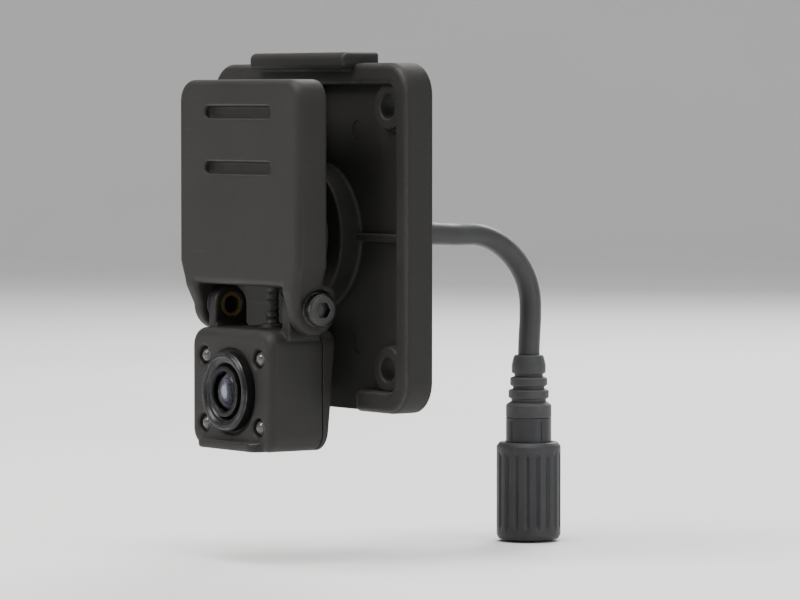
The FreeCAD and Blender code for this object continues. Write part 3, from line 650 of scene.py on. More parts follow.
def coated_glass(name, tint, film, smear, glint):
    """Lens glass with a quarter-wave film and wiping marks, darker the longer the light's path in it."""
    s = Shader(name)
    depth = s.node("ShaderNodeVolumeAbsorption", Color=(0.1, 0.12, 0.2, 1.0), Density=380.0)
    s.tree.links.new(depth.outputs[0], s.tree.nodes["Material Output"].inputs["Volume"])
    wiped = s.noise(1.0, 4.0, 0.6, vector=s.stretched(700.0, 700.0, 240.0))
    return s.set(Base_Color=tint, Transmission_Weight=1.0, IOR=1.62,
                 Roughness=s.between(wiped, 0.5, 0.85, 0.0, smear),
                 Thin_Film_Thickness=s.between(s.noise(240.0, 2.0, 0.4), 0.2, 0.8, film - 6.0, film + 8.0),
                 Thin_Film_IOR=1.38, Specular_Tint=glint, Coat_Weight=0.12, Coat_Roughness=0.01)


def epoxy(name, tint):
    s = Shader(name)
    cloud = s.noise(500.0, 3.0, 0.5)
    tone = s.mix(s.between(cloud, 0.3, 0.7), tint, lighter(tint, 0.9))
    return s.set(Base_Color=tone, Transmission_Weight=0.92, IOR=1.52,
                 Roughness=s.between(cloud, 0.3, 0.8, 0.02, 0.1))


def circuit_board(name, mask, trace):
    """Solder mask over copper tracks, with tinned pads."""
    s = Shader(name)
    tracks = s.node("ShaderNodeTexBrick", {"offset": 0.37, "squash": 0.6},
                    Vector=s.stretched(1.0, 0.0, 1.0), Scale=420.0, Mortar_Size=0.09, Mortar_Smooth=0.1,
                    Brick_Width=0.9, Row_Height=0.34)
    pads = s.cells(620.0)
    tone = s.mix(tracks.outputs["Fac"], mask, trace)
    shown = s.between(pads, 0.13, 0.16, 1.0, 0.0)
    tone = s.mix(shown, tone, (0.78, 0.76, 0.7))
    height = s.plus(tracks.outputs["Fac"], shown)
    return s.set(Base_Color=tone, Metallic=shown, Roughness=s.between(s.noise(800.0), 0.3, 0.7, 0.22, 0.4),
                 Normal=s.bump(height, 2e-5, 0.6), Coat_Weight=0.3)


def coloured_wires(name):
    """Red, black, white and yellow sheaths, by the place of each wire."""
    s = Shader(name)
    split = s.node("ShaderNodeSeparateXYZ")
    s.tree.links.new(s.place, split.inputs[0])
    right = s.calc("GREATER_THAN", split.outputs["X"], 0.0)
    outer = s.calc("GREATER_THAN", s.calc("ABSOLUTE", split.outputs["X"]), 5.5e-4)
    tone = s.mix(outer, s.mix(right, (0.5, 0.03, 0.02), (0.75, 0.72, 0.66)),
                 s.mix(right, (0.02, 0.02, 0.02), (0.7, 0.45, 0.03)))
    tone = s.mix(s.times(s.noise(1200.0), 0.2), tone, (0.1, 0.1, 0.1))
    return s.set(Base_Color=tone, Roughness=s.between(s.noise(500.0), 0.3, 0.7, 0.3, 0.45))


def pressed(name, colour, rough, speck=0.3):
    """Small moulded, sintered or pressed part with a speckled surface."""
    s = Shader(name)
    grains = s.noise(2200.0, 4.0, 0.65)
    tone = s.mix(s.times(s.between(grains, 0.45, 0.7), speck), colour, lighter(colour, 1.8, 0.03))
    sheen = s.between(grains, 0.3, 0.7, rough - 0.06, rough + 0.08)
    return s.set(Base_Color=tone, Roughness=sheen, Normal=s.bump(grains, 8e-6, 0.6))


def sensor_face(name):
    """Image sensor: dark violet face with faint pixel rows."""
    s = Shader(name)
    rows = s.noise(2.0, 1.0, 0.3, vector=s.stretched(400.0, 1.0, 9000.0))
    tone = s.mix(s.between(rows, 0.3, 0.7), (0.006, 0.006, 0.016), (0.01, 0.006, 0.018))
    return s.set(Base_Color=tone, Roughness=s.between(rows, 0.3, 0.7, 0.3, 0.34), Specular_IOR_Level=0.3)


LOOKS = {
    "frame_plastic": moulded("frame plastic", (0.0146, 0.0139, 0.0129), 0.58),
    "cover_plastic": moulded("cover plastic", (0.0172, 0.0161, 0.0148), 0.56),
    "housing_plastic": moulded("housing plastic", (0.0145, 0.0145, 0.0146), 0.5, grain=1e-5),
    "head_plastic": moulded("head plastic", (0.0166, 0.0156, 0.0145), 0.54),
    "gasket_foam": foam("gasket foam", (0.03, 0.03, 0.032)),
    "seal_rubber": rubber("seal rubber", (0.028, 0.028, 0.03), 0.5),
    "vent_plastic": moulded("vent plastic", (0.05, 0.05, 0.05), 0.45, grain=6e-6),
    "zinc_steel": metal("zinc plated steel", (0.62, 0.61, 0.57), 0.34, (700, 200, 700), 0.3),
    "screw_steel": metal("stainless screws", (0.5, 0.49, 0.47), 0.33, (800, 200, 800), 0.2),
    "tilt_screw_steel": metal("blackened tilt screws", (0.052, 0.051, 0.05), 0.38, (200, 1200, 1200), 0.3),
    "circuit_board": circuit_board("green circuit board", (0.012, 0.11, 0.045), (0.02, 0.2, 0.08)),
    "led_circuit_board": circuit_board("black circuit board", (0.015, 0.015, 0.018), (0.05, 0.05, 0.055)),
    "chip_package": pressed("chip package", (0.022, 0.022, 0.024), 0.5),
    "capacitor_can": metal("capacitor can", (0.72, 0.72, 0.73), 0.25, (300, 1500, 300), 0.1),
    "ferrite": pressed("ferrite", (0.07, 0.07, 0.072), 0.7, 0.5),
    "crystal_can": metal("crystal can", (0.66, 0.65, 0.6), 0.22, (1500, 300, 300), 0.1),
    "header_plastic": pressed("header nylon", (0.74, 0.69, 0.58), 0.45, 0.15),
    "wire_sheath": coloured_wires("wire sheaths"),
    "cable_jacket": rubber("cable jacket", (0.022, 0.022, 0.023), 0.5, 6e-6, 0.2),
    "boot_rubber": rubber("boot rubber", (0.03, 0.03, 0.031), 0.6),
    "plug_plastic": moulded("plug plastic", (0.03, 0.03, 0.032), 0.38, grain=6e-6, dust=0.2),
    "ring_plastic": moulded("ring plastic", (0.034, 0.034, 0.036), 0.46, grain=1.2e-5, wear=0.7, dust=0.25),
    "insulator_plastic": pressed("insulator", (0.05, 0.05, 0.055), 0.5, 0.2),
    "contact_brass": metal("gold contacts", (0.88, 0.66, 0.28), 0.2, (400, 400, 1800), 0.1),
    "insert_brass": metal("brass inserts", (0.6, 0.45, 0.21), 0.34, (200, 800, 800), 0.2),
    "washer_plastic": pressed("acetal washers", (0.035, 0.035, 0.036), 0.4, 0.15),
    "bezel_metal": anodised("anodised bezel", (0.022, 0.022, 0.024), 0.3),
    "barrel_metal": anodised("anodised barrel", (0.01, 0.01, 0.011), 0.42),
    "stop_metal": pressed("blackened stop", (0.01, 0.01, 0.01), 0.7, 0.1),
    "front_glass": coated_glass("coated front lens", (0.93, 0.95, 1.0), 112.0, 0.02, (0.24, 0.2, 0.36)),
    "inner_glass": coated_glass("coated inner lenses", (0.66, 0.7, 0.76), 92.0, 0.0, (0.2, 0.32, 0.26)),
    "filter_glass": coated_glass("infrared filter", (0.45, 0.8, 0.95), 125.0, 0.0, (0.3, 0.08, 0.1)),
    "holder_plastic": pressed("lens holder", (0.03, 0.03, 0.032), 0.5, 0.2),
    "sensor_package": sensor_face("image sensor"),
    "led_epoxy": epoxy("clear lights", (0.86, 0.84, 0.9)),
}


# ---- mounting frame ----
def frame_rim():
    """The raised rim, open at the bottom between the two sides of the drain gap."""
    h, inner, gap = FRAME_HALF, FRAME_HALF - RIM_WIDE, DRAIN_HALF
    corners = [(h, -h), (h, h), (-h, h), (-h, -h), (-gap, -h), (-gap, -inner), (-inner, -inner)]
    corners += [(-inner, inner), (inner, inner), (inner, -inner), (gap, -inner), (gap, -h)]
    inside_r = 2.6
    return outline(corners, [FRAME_CORNER_R] * 4 + [0.9, 0.6] + [inside_r] * 4 + [0.6, 0.9], 10)


def frame_floor(b):
    """The plate inside the rim, with the gasket's groove in its back and marks of the mould's ejectors."""
    marks = four(12.5, 19.5)
    step = BASE_D + 0.3
    back, mid = FRAME_HALF - 0.03, FRAME_HALF - 0.05
    b.slab(front, box(-back, -back, back, back, 5.97, 10), 0.0, step, 0.35, 0.05,
           holes=[(box(-29.0, -29.0, 29.0, 29.0, 3.5), 0.15, 0.02)])
    holes = [(circle(NUT_WELL_R), 0.35, 0.02)] + [(circle(HOLE_R, x, z, 32), 0.3, 0.02) for x, z in HOLES]
    b.slab(front, box(-27.0, -27.0, 27.0, 27.0, 2.0), 0.0, step, 0.2, 0.05, holes=holes,
           back_pits=[(circle(2.5, x, z, 40), 0.18, 0.06, 0.05) for x, z in marks])
    holes = [(circle(11.4), 0.02, 0.02)] + [(circle(2.3, x, z, 32), 0.02, 0.02) for x, z in HOLES]
    b.slab(front, box(-mid, -mid, mid, mid, 5.95, 10), BASE_D, FLOOR_D, 0.05, 0.25, holes=holes,
           pits=[(circle(2.0, x, z, 40), 0.16, 0.06, 0.05) for x, z in marks])


def mounting_frame():
    b = Build()
    b.slab(front, frame_rim(), BASE_D + 0.02, RIM_D, 0.1, 1.25, n=6)
    frame_floor(b)
    hub = [(NUT_WELL_R, 0.3), (NUT_WELL_R, 5.0), (HUB_BORE_R, 5.0), (HUB_BORE_R, HUB_D), (HUB_R, HUB_D)]
    hub += [(HUB_R, 2.95), (14.6, 2.95), (14.6, 1.5)]
    b.lathe(front, hub, [0.05, 0.4, 0.2, 0.25, 0.6, 0.9, 0.02, 0.05], steps=96)
    boss = [(HOLE_R, 0.3), (HOLE_R, 4.6), (4.2, 4.6), (4.2, 2.95), (4.9, 2.95), (4.9, 1.5)]
    for x, z in HOLES:
        b.lathe(at(x, z), boss, [0.05, 0.45, 0.5, 0.55, 0.02, 0.05], steps=48)
    rib_half, rib_d = 0.7, 4.2
    for low, high in ((13.0, 28.3), (-28.3, -13.0)):
        b.slab(front, box(low, -rib_half, high, rib_half, 0.1), 2.5, rib_d, 0.05, 0.35)
        b.slab(front, box(-rib_half, low, rib_half, high, 0.1), 2.5, rib_d, 0.05, 0.35)
    lip = box(0.1, 31.0, 8.6, 34.0, [0.3, 0.8, 1.3, 0.5])
    b.slab(across, lip, -LIP_HALF, LIP_HALF, 0.9, 0.9)
    fillet = outline([(5.0, 30.4), (5.95, 30.4), (7.1, 31.3), (5.0, 31.3)], [0.05, 0.3, 0.3, 0.05])
    b.slab(across, fillet, 0.7 - LIP_HALF, LIP_HALF - 0.7, 0.2, 0.2)
    piece("frame_moulding", b, "frame_plastic", "base", "mounting_frame")


def frame_gasket():
    b = Build()
    b.slab(front, rectangle(57.7, -28.85, 28.85, 3.35), 0.0, BASE_D, 0.18, 0.05,
           holes=[(rectangle(54.3, -27.15, 27.15, 2.15), 0.18, 0.05)])
    piece("foam_gasket", b, "gasket_foam", "base", "frame_gasket")


def stem_nut():
    b = Build()
    low, high = 1.2, 4.4
    corner_r = NUT_HALF / math.cos(math.pi / 6)

    def six_sided(r, w, turn):
        """Flats at NUT_HALF from the middle, with the corners turned off at both faces."""
        if r < 8.0:
            return r
        wedge = (turn + math.pi / 6) % (math.pi / 3) - math.pi / 6
        chamfer = NUT_HALF + 0.05 + 1.6 * min(w - low, high - w)
        return min(r * NUT_HALF / corner_r / math.cos(wedge), chamfer)
    levels = [low, low + 0.25, low + 0.5, low + 0.8, 2.8, high - 0.8, high - 0.5, high - 0.25, high]
    profile = [(7.5, low)] + [(corner_r, w) for w in levels]
    profile += [(7.5, high), (7.05, high - 0.5), (7.05, low + 0.5)]
    b.lathe(front, profile, 0.02, steps=144, shape=six_sided, arc=1)
    piece("hexagon_nut", b, "zinc_steel", "base", "stem_nut")


def stem_seal():
    b = Build()
    b.lathe(front, [(7.05, 7.52), (9.6, 7.52), (9.6, 8.28), (7.05, 8.28)], [0.1, 0.36, 0.36, 0.1], steps=80)
    piece("stem_seal_ring", b, "seal_rubber", "base", "stem_seal")


# ---- electronics housing ----
def rear_housing():
    b = Build()
    mating_d = 16.4
    b.slab(front, rectangle(28.0, -6.0, 26.0, 3.0, steps=8), REAR_BACK_D, 15.6, 1.5, 0.1, n=6)
    b.slab(front, rectangle(37.4, -7.7, 27.7, 3.1, steps=8), COVER_BACK_D, mating_d, 0.35, 0.3)
    b.slab(front, rectangle(29.0, -6.5, 26.5, 3.4, steps=8), 14.55, 15.2, 0.45, 0.05)
    thread_top = 7.2

    def threaded(r, w, turn):
        """A shallow thread round the stem's outer wall."""
        if r < STEM_R - 0.1 or w > thread_top:
            return r
        phase = (w / THREAD_PITCH + turn / (2 * math.pi)) % 1.0
        return STEM_R - 0.3 * abs(phase - 0.5)

    stem = [(4.5, 0.5), (6.6, 0.5), (6.95, 0.85)] + [(STEM_R, 1.0 + 0.16 * i) for i in range(39)]
    stem += [(STEM_R, 10.7), (2.2, 10.7), (2.2, 4.5), (4.5, 4.5)]
    b.lathe(front, stem, 0.02, steps=72, shape=threaded, arc=1)
    shoulder = [(6.5, 8.3), (STEM_SHOULDER_R, 8.3), (STEM_SHOULDER_R, 9.4), (7.6, 9.4), (STEM_R, 10.0)]
    b.lathe(front, shoulder + [(6.5, 10.0)], [0.05, 0.25, 0.3, 0.5, 0.3, 0.05], steps=80)
    b.lathe(upright(0, -LINK_D), [(1.32, -6.9), (2.1, -6.9), (2.5, -6.0), (2.5, -5.6), (1.32, -5.6)],
            [0.15, 0.3, 0.2, 0.05, 0.05], steps=40)
    for x in (-8.5, 8.5):
        b.slab(front, box(x - 0.5, -3.5, x + 0.5, 13.0, 0.45), 10.1, 10.8, 0.3, 0.05)
    piece("housing_moulding", b, "housing_plastic", "base", "rear_housing")


def arm_mesh():
    """The right fork arm: round about the tilt axis, with a spot face and a hole for the tilt screw."""
    low = PIVOT_Z - ARM_END_R
    fore = PIVOT_D + ARM_END_R
    back = PIVOT_D - ARM_END_R
    hidden = COVER_FRONT_D - 0.03
    corners = [(16.0, -3.5), (hidden, -3.5), (hidden, -9.6), (fore, PIVOT_Z), (fore, low), (back, low)]
    corners += [(back, PIVOT_Z), (11.6, -9.4), (16.0, -7.9)]
    profile = outline(corners, [0.1, 0.1, 2.5, 0.2, 4.75, 4.75, 0.2, 1.2, 0.1], 10)
    arm = Build()
    arm.slab(across, profile, ARM_INNER, ARM_OUTER, 0.95, 0.95, n=6)

    def widen(x, d, z):
        """Makes the arm thicker towards the cover, up to nearly the cover's side."""
        share = min(max((z + 12.0) / 7.0, 0.0), 1.0)
        growth = 1 + share * 2.87 / (ARM_OUTER - ARM_INNER)
        return ARM_INNER + (x - ARM_INNER) * growth, d, z
    arm.bend(widen)
    spot_face = Build()
    spot_d = ARM_OUTER + 0.02
    spot_face.lathe(round_pivot, [(0, spot_d), (3.6, spot_d), (3.6, 25), (0, 25)])
    hole = Build()
    hole.lathe(round_pivot, [(0, 10), (1.7, 10), (1.7, 18), (0, 18)], steps=48)
    return carved(arm, [spot_face, hole], "arm")


def mirrored(mesh):
    other = mesh.copy()
    other.transform(Matrix.Scale(-1, 4, (1, 0, 0)))
    other.flip_normals()
    return other


def front_cover():
    b = Build()
    half, taper_z, end_half = COVER_HALF, -5.0, 18.34
    corners = [(half, COVER_TOP), (-half, COVER_TOP), (-half, taper_z), (-end_half, COVER_LOW)]
    corners += [(end_half, COVER_LOW), (half, taper_z)]
    shield = outline(corners, [4.0, 4.0, 2.5, 0.5, 0.5, 2.5], 8)
    grooves = [rectangle(22.0, z - 1.1, z + 1.1, 0.95) for z in (12.7, 23.0)]
    hollow = rectangle(37.6, -7.8, 27.8, 3.2, steps=8)
    b.slab(front, shield, COVER_BACK_D, COVER_FRONT_D, 0.35, 1.3, n=7,
           pits=[(groove, 1.35, 0.22, 0.3) for groove in grooves], back_pits=[(hollow, 2.0, 0.2, 0.1)])
    arm = arm_mesh()
    mesh = moulded_as_one([b.mesh("cover"), arm, mirrored(arm)], "cover", voxel=0.25)
    piece("cover_moulding", mesh, "cover_plastic", "base", "front_cover", flat_faces=False)


def pan_heads(name, places, head_r, seat, thick, shank_r, tip, body, node):
    """Screws that point forward, with domed heads that have a cross recess."""
    b = Build()
    for x, z in places:
        b.slab(front, circle(head_r, x, z, 40), seat - thick, seat, thick * 0.6, 0.05,
               back_pits=[(cross(head_r * 0.56, 0.22, x, z), thick * 0.6, 0.06, 0.05)])
        shank = [(0, seat - 0.1), (shank_r, seat - 0.1), (shank_r, tip - shank_r), (0, tip)]
        b.lathe(at(x, z), shank, steps=24)
    piece(name, b, "screw_steel", body, node)


# ---- tilting head ----
HEAD_OUTLINE = rectangle(HEAD_WIDE, HEAD_LOW, HEAD_TOP, HEAD_CORNER_R, steps=9)
ON_LENS_AXIS = at(0, LENS_Z)


def head_shell():
    b = Build()
    pits = [(circle(8.0, 0, LENS_Z, 72), 9.0, 0.3, 0.1)]
    pits += [(circle(1.75, x, z, 32), 4.0, 0.5, 0.1) for x, z in LIGHT_PLACES]
    b.slab(front, HEAD_OUTLINE, 11.6, HEAD_FRONT_D, 0.22, 1.6, n=7, pits=pits)
    seat = [(4.85, 20.5), (8.3, 20.5), (8.3, 22.5), (4.85, 22.5)]
    b.lathe(ON_LENS_AXIS, seat, [0.1, 0.05, 0.05, 0.15], steps=72)
    lip = box(-HEAD_LIP_HALF, -20.5, HEAD_LIP_HALF, -HEAD_LIP_D, [0.1, 0.1, 2.2, 2.2], 10)
    b.slab(upright(0, 0), lip, HEAD_LOW + 0.02, -37.5, 0.6, 0.5, n=5)
    for side in (-1, 1):
        near, far = sorted((side * 11.0, side * 13.48))
        lug = box(11.9, -18.6, 19.1, -9.4, [0.1, 0.1, 3.59, 3.59], 12)
        b.slab(across, lug, near, far, 0.45, 0.45, holes=[(circle(2.3, PIVOT_D, PIVOT_Z, 40), 0.15, 0.15)])
        near, far = sorted((side * 10.6, side * 13.2))
        foot = [(11.75, -17.6), (19.25, -17.6), (18.95, -16.5), (12.05, -16.5)]
        b.slab(across, outline(foot, [0.05, 0.05, 0.3, 0.3]), near, far, 0.4, 0.2)
    b.lathe(upright(0, -LINK_D), [(1.35, -17.4), (2.5, -17.4), (2.3, -16.2), (1.35, -16.2)],
            [0.05, 0.1, 0.35, 0.2], steps=40)
    mesh = moulded_as_one([b.mesh("head")], "head", voxel=0.2, soften=3)
    piece("head_moulding", mesh, "head_plastic", "camera_head", "head_shell", flat_faces=False)


def head_cover():
    """The head's back, deeper at the top than at the bottom."""
    b = Build()
    pits = [(circle(HEAD_SCREW_R + 0.25, x, z, 32), 1.3, 0.25, 0.05) for x, z in HEAD_SCREWS]
    pits.append((rectangle(13.0, -34.5, -22.5, 1.6), 0.45, 0.2, 0.15))
    b.slab(front, HEAD_OUTLINE, HEAD_BACK_D, HEAD_SPLIT_D, 1.1, 0.22, n=6, back_pits=pits)

    def slope(x, d, z):
        lean = 2.5 * (HEAD_TOP - z) / (HEAD_TOP - HEAD_LOW)
        return x, d + lean * (HEAD_SPLIT_D - d) / (HEAD_SPLIT_D - HEAD_BACK_D), z
    b.bend(slope)
    piece("head_back_moulding", b, "head_plastic", "camera_head", "head_cover")


def lens_ring():
    b = Build()
    profile = [(4.95, 22.5), (7.4, 22.5), (7.4, 24.3), (6.95, 24.8), (6.35, 24.8), (5.9, 24.35)]
    profile += [(5.45, 24.25), (4.95, 23.75)]
    b.lathe(ON_LENS_AXIS, profile, [0.05, 0.05, 0.25, 0.2, 0.2, 0.15, 0.15, 0.12], steps=120)
    piece("lens_ring", b, "bezel_metal", "camera_head", "lens_bezel")


def lens_tube():
    """The barrel, with fine rings cut inside it against stray light."""
    b = Build()
    bore_r, ring_r = 3.2, 3.32
    rings = []
    for i in range(11):
        w = 22.0 - 0.48 * i
        rings += [(bore_r, w), (ring_r, w - 0.12), (ring_r, w - 0.24), (bore_r, w - 0.36)]
    profile = [(2.5, 15.7), (4.7, 15.7), (4.7, 24.2), (4.15, 24.2), (4.15, 22.2), (bore_r, 22.2)]
    profile += rings + [(bore_r, 16.5), (2.5, 16.5)]
    b.lathe(ON_LENS_AXIS, profile, 0.02, steps=96, arc=1)
    piece("lens_tube", b, "barrel_metal", "camera_head", "lens_barrel")


def lens_lock_ring():
    b = Build()
    profile = [(3.75, 23.64), (4.1, 23.34), (4.12, 24.2), (4.65, 24.2), (4.65, 24.6), (3.95, 24.6)]
    b.lathe(ON_LENS_AXIS, profile + [(3.75, 24.3)], [0.02, 0.02, 0.02, 0.03, 0.1, 0.08, 0.05], steps=96)
    piece("lens_lock_ring", b, "barrel_metal", "camera_head", "lens_retaining_ring")


def glass_profile(radius, back, fore, back_bulge, front_bulge, steps=28):
    """Open profile of a lens from the middle of its back, round its rim, to the middle of its front."""
    def arc(rim, bulge):
        radii = [radius * i / steps for i in range(steps + 1)]
        if bulge == 0.0:
            return [(r, rim) for r in radii]
        ball = (radius ** 2 + bulge ** 2) / (2 * bulge)
        return [(r, rim + math.sqrt(ball ** 2 - r ** 2) - (ball - bulge)) for r in radii]
    return arc(back, back_bulge) + arc(fore, front_bulge)[::-1]


def lenses():
    """Three lenses with clear faces and blackened rims."""
    shapes = [("front_glass", 4.08, 22.25, 23.2, 1.0, 1.75, "front_lens", "front_glass"),
              ("middle_glass", 3.13, 20.3, 20.95, 0.5, 0.6, "middle_lens", "inner_glass"),
              ("rear_glass", 3.13, 16.5, 17.7, 0.0, 0.9, "rear_lens", "inner_glass")]
    for name, radius, back, fore, back_bulge, front_bulge, node, look in shapes:
        b = Build()
        profile = glass_profile(radius, back, fore, back_bulge, front_bulge)
        b.lathe(ON_LENS_AXIS, profile, steps=160)
        made = piece(name, b, look, "camera_head", node, flat_faces=False)
        made.data.materials.append(LOOKS["stop_metal"])
        for face in made.data.polygons:
            face.material_index = 1 if abs(face.normal.y) < 0.2 else 0


def lights():
    """Four clear domes, each with a bright cup and a small chip inside."""
    domes = Build()
    cups = Build()
    dome_r, dome_high, collar_r = 1.5, 1.6, 1.8
    turns = [math.pi / 2 * i / 10 for i in range(11)]
    dome = [(dome_r * math.sin(t), 21.4 + dome_high * math.cos(t)) for t in turns]
    dome += [(dome_r, 18.4), (collar_r, 18.4), (collar_r, 17.6), (0, 17.6)]
    cup = [(0.35, 20.2), (0.95, 20.9), (1.1, 20.9), (1.1, 20.2), (0.9, 19.8), (0.35, 19.8)]
    for x, z in LIGHT_PLACES:
        place = at(x, z)
        domes.lathe(place, dome, steps=40)
        cups.lathe(place, cup, 0.02, steps=32)
        cups.slab(place, rectangle(0.4, -0.2, 0.2, 0.04), 20.0, 20.35, 0.02, 0.02)
        cups.lathe(place, [(0, 19.9), (0.4, 19.9), (0.4, 20.15), (0, 20.15)], steps=24)
    piece("light_domes", domes, "led_epoxy", "camera_head", "illuminator_leds", flat_faces=False)
    piece("light_cups", cups, "crystal_can", "camera_head")


def tilt_screw(side, name, body):
    """A socket screw with a knurled rim, pointing inward along the tilt axis."""
    b = Build()
    head = knurled(TILT_SCREW_R, 44, 0.09)
    socket = [(hexagon(1.3), 1.2, 0.12, 0.1)]
    if side > 0:
        b.slab(round_pivot, head, TILT_HEAD_INNER, TILT_HEAD_OUTER, 0.15, 0.6, n=6, pits=socket)
    else:
        b.slab(round_pivot, head, -TILT_HEAD_OUTER, -TILT_HEAD_INNER, 0.6, 0.15, n=6, back_pits=socket)
    tip, root = side * 11.3, side * (TILT_HEAD_INNER + 0.2)
    shank = [(0, tip), (1.2, tip), (1.55, tip + side * 0.35), (1.55, root), (0, root)]
    b.lathe(round_pivot, shank, steps=40)
    piece(f"{name}_turned", b, "tilt_screw_steel", body, name)


def link_cable():
    """The ribbed cable between housing and head, which in the real camera bends with the tilt; here it is
    made in one rest shape, a little slack between the two sockets.
    """
    steps, most_slack = 40, 0.18
    ribs_low, ribs_high, pitch = -16.4, -7.2, 1.3
    middle_line = []
    for i in range(steps + 1):
        share = i / steps
        slack = most_slack * math.sin(math.pi * share) ** 2
        middle_line.append(Vector((0.0, -(LINK_D + slack), LINK_TOP - LINK_LONG * share)))
    path = []
    for a, c in zip(middle_line, middle_line[1:]):
        path += [a + (c - a) * k / 4 for k in range(4)]
    path.append(middle_line[-1])

    def radius(share):
        z = LINK_TOP - LINK_LONG * share
        if not ribs_low < z < ribs_high:
            return 1.12
        return 1.2 + 0.08 * math.cos(2 * math.pi * (z + 7.0) / pitch)
    b = Build()
    b.tube(path, radius, 28)
    made = piece("link_cable_soft", b, "cable_jacket", None, "link_sleeve", flat_faces=False)
    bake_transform(made)


# ---- cable and plug ----
def strain_relief():
    """The ribbed boot behind the stem, which gets thinner with every rib."""
    b = Build()
    profile = [(CABLE_BORE_R, 4.3), (4.4, 4.3), (4.4, 0.4), (6.2, 0.4), (6.2, -1.6), (4.7, -2.3)]
    radii = [0.1, 0.1, 0.05, 0.35, 0.6, 0.5]
    radius, d = 4.5, -3.0
    for _ in range(5):
        profile += [(radius, d), (radius, d - 1.5), (radius - 0.9, d - 1.95), (radius - 0.9, d - 2.5)]
        radii += [0.35, 0.4, 0.25, 0.2]
        radius -= 0.25
        d -= 2.9
    profile += [(3.0, d - 0.2), (2.8, d - 1.6), (CABLE_BORE_R, d - 1.6)]
    radii += [0.15, 0.3, 0.05]
    b.lathe(front, profile, radii, steps=72)
    piece("cable_boot", b, "boot_rubber", "base", "strain_relief")


def cable():
    """The cable out of the stem, round a bend and down into the plug, a little loose on the way."""
    from_y, bend_y, drop = -11.6, PLUG_Y - CABLE_BEND_R, 24.0
    path = [(from_y + (bend_y - from_y) * i / 30, 0.0) for i in range(31)]
    for i in range(1, 25):
        turn = math.pi / 2 * i / 24
        path.append((bend_y + CABLE_BEND_R * math.sin(turn), -CABLE_BEND_R + CABLE_BEND_R * math.cos(turn)))
    path += [(PLUG_Y, -CABLE_BEND_R - drop * i / 16) for i in range(1, 17)]
    loose = []
    for y, z in path:
        free = max(0.0, min(1.0, (y - 20.0) / 8.0)) * max(0.0, min(1.0, (z + 24.0) / 7.0))
        loose.append((0.5 * free * math.sin((y - z) * 0.13), y, z - 0.45 * free))
    b = Build()
    b.tube(loose, CABLE_R, 32)
    piece("cable_soft", b, "cable_jacket", "base", "cable", flat_faces=False)


def plug_tail():
    """The rubber tail that grips the cable, with three ribs."""
    b = Build()
    profile = [(CABLE_BORE_R, -24.0), (2.8, -24.0), (3.1, -25.0)]
    radii = [0.05, 0.3, 0.2]
    for i in range(3):
        z = -26.0 - 2.4 * i
        r = 3.3 + 0.3 * i
        profile += [(r, z), (r, z - 1.4), (r - 0.55, z - 1.7), (r - 0.55, z - 2.1)]
        radii += [0.3, 0.35, 0.12, 0.12]
    profile += [(PLUG_R, -33.6), (PLUG_R, -36.0), (CABLE_BORE_R, -36.0)]
    radii += [0.5, 0.15, 0.05]
    b.lathe(upright(0, PLUG_Y), profile, radii, steps=64)
    piece("plug_tail", b, "boot_rubber", "base", "plug_boot")


def plug_shell():
    """The plug's body, downward: four ribs, a flange, a land for the seal, and a nose with a keyway."""
    b = Build()
    keyway_top = -50.0

    def keyed(r, w, turn):
        """Cuts the keyway into the side of the nose that faces forward."""
        from_front = abs((turn + 1.5 * math.pi) % (2 * math.pi) - math.pi)
        return r - 0.4 if from_front < 0.16 and r > 4.0 and w < keyway_top else r
    profile = [(CABLE_BORE_R, -36.02), (PLUG_R, -36.02), (PLUG_R, -44.0), (5.3, -44.0), (5.3, -46.0)]
    profile += [(PLUG_LAND_R, -46.0), (PLUG_LAND_R, -47.9), (PLUG_R, -47.9), (PLUG_R, keyway_top)]
    profile += [(PLUG_R, -57.4), (4.1, -58.0), (3.5, -58.0), (3.5, -46.0), (CABLE_BORE_R, -46.0)]
    radii = [0.05, 0.2, 0.2, 0.2, 0.2, 0.1, 0.1, 0.05, 0.05, 0.1, 0.05, 0.15, 0.05, 0.05]
    b.lathe(upright(0, PLUG_Y), profile, radii, steps=96, shape=keyed)
    rib = [(4.35, -0.4), (4.35, 0.4), (4.65, 0.24), (4.65, -0.24)]
    for i in range(4):
        c = math.cos(math.pi / 2 * i)
        s = math.sin(math.pi / 2 * i)
        section = [(r * c - side * s, PLUG_Y + r * s + side * c) for r, side in rib]
        b.loft([[(x, y, z) for x, y in section] for z in (-36.8, -40.3)])
    piece("plug_shell", b, "plug_plastic", "base", "plug_body")


def coupling_ring():
    """The fluted ring that screws the plug to its socket, threaded inside."""
    b = Build()
    flutes_low, flutes_high = -57.6, -42.6

    def fluted(r, w, turn):
        """Cuts 18 flutes into the outside, which run out towards their ends."""
        if r < 6.0 or not flutes_low < w < flutes_high:
            return r
        fade = min(1.0, (w - flutes_low) / 0.8, (flutes_high - w) / 0.8)
        return r - 0.4 * fade * max(0.0, math.cos(18 * turn)) ** 1.5
    outside = [(RING_R, RING_TOP - 0.8)] + [(RING_R, flutes_high - 0.25 * i) for i in range(61)]
    outside.append((RING_R, RING_BOTTOM + 0.8))
    thread = []
    for i in range(9):
        z = RING_BOTTOM + 1.0 + 1.2 * i
        thread += [(5.42, z), (5.6, z + 0.35), (5.6, z + 0.6), (5.42, z + 0.95)]
    profile = [(4.55, RING_TOP), (RING_R - 0.6, RING_TOP)] + outside
    profile += [(RING_R - 0.4, RING_BOTTOM), (5.5, RING_BOTTOM)] + thread + [(5.42, -43.9), (4.55, -43.9)]
    radii = [0.15, 0.3] + [0.0] * len(outside) + [0.2, 0.1] + [0.02] * len(thread) + [0.05, 0.1]
    b.lathe(upright(0, PLUG_Y), profile, radii, steps=216, shape=fluted, arc=2)
    piece("plug_ring_fluted", b, "ring_plastic", "plug_ring", "coupling_ring")


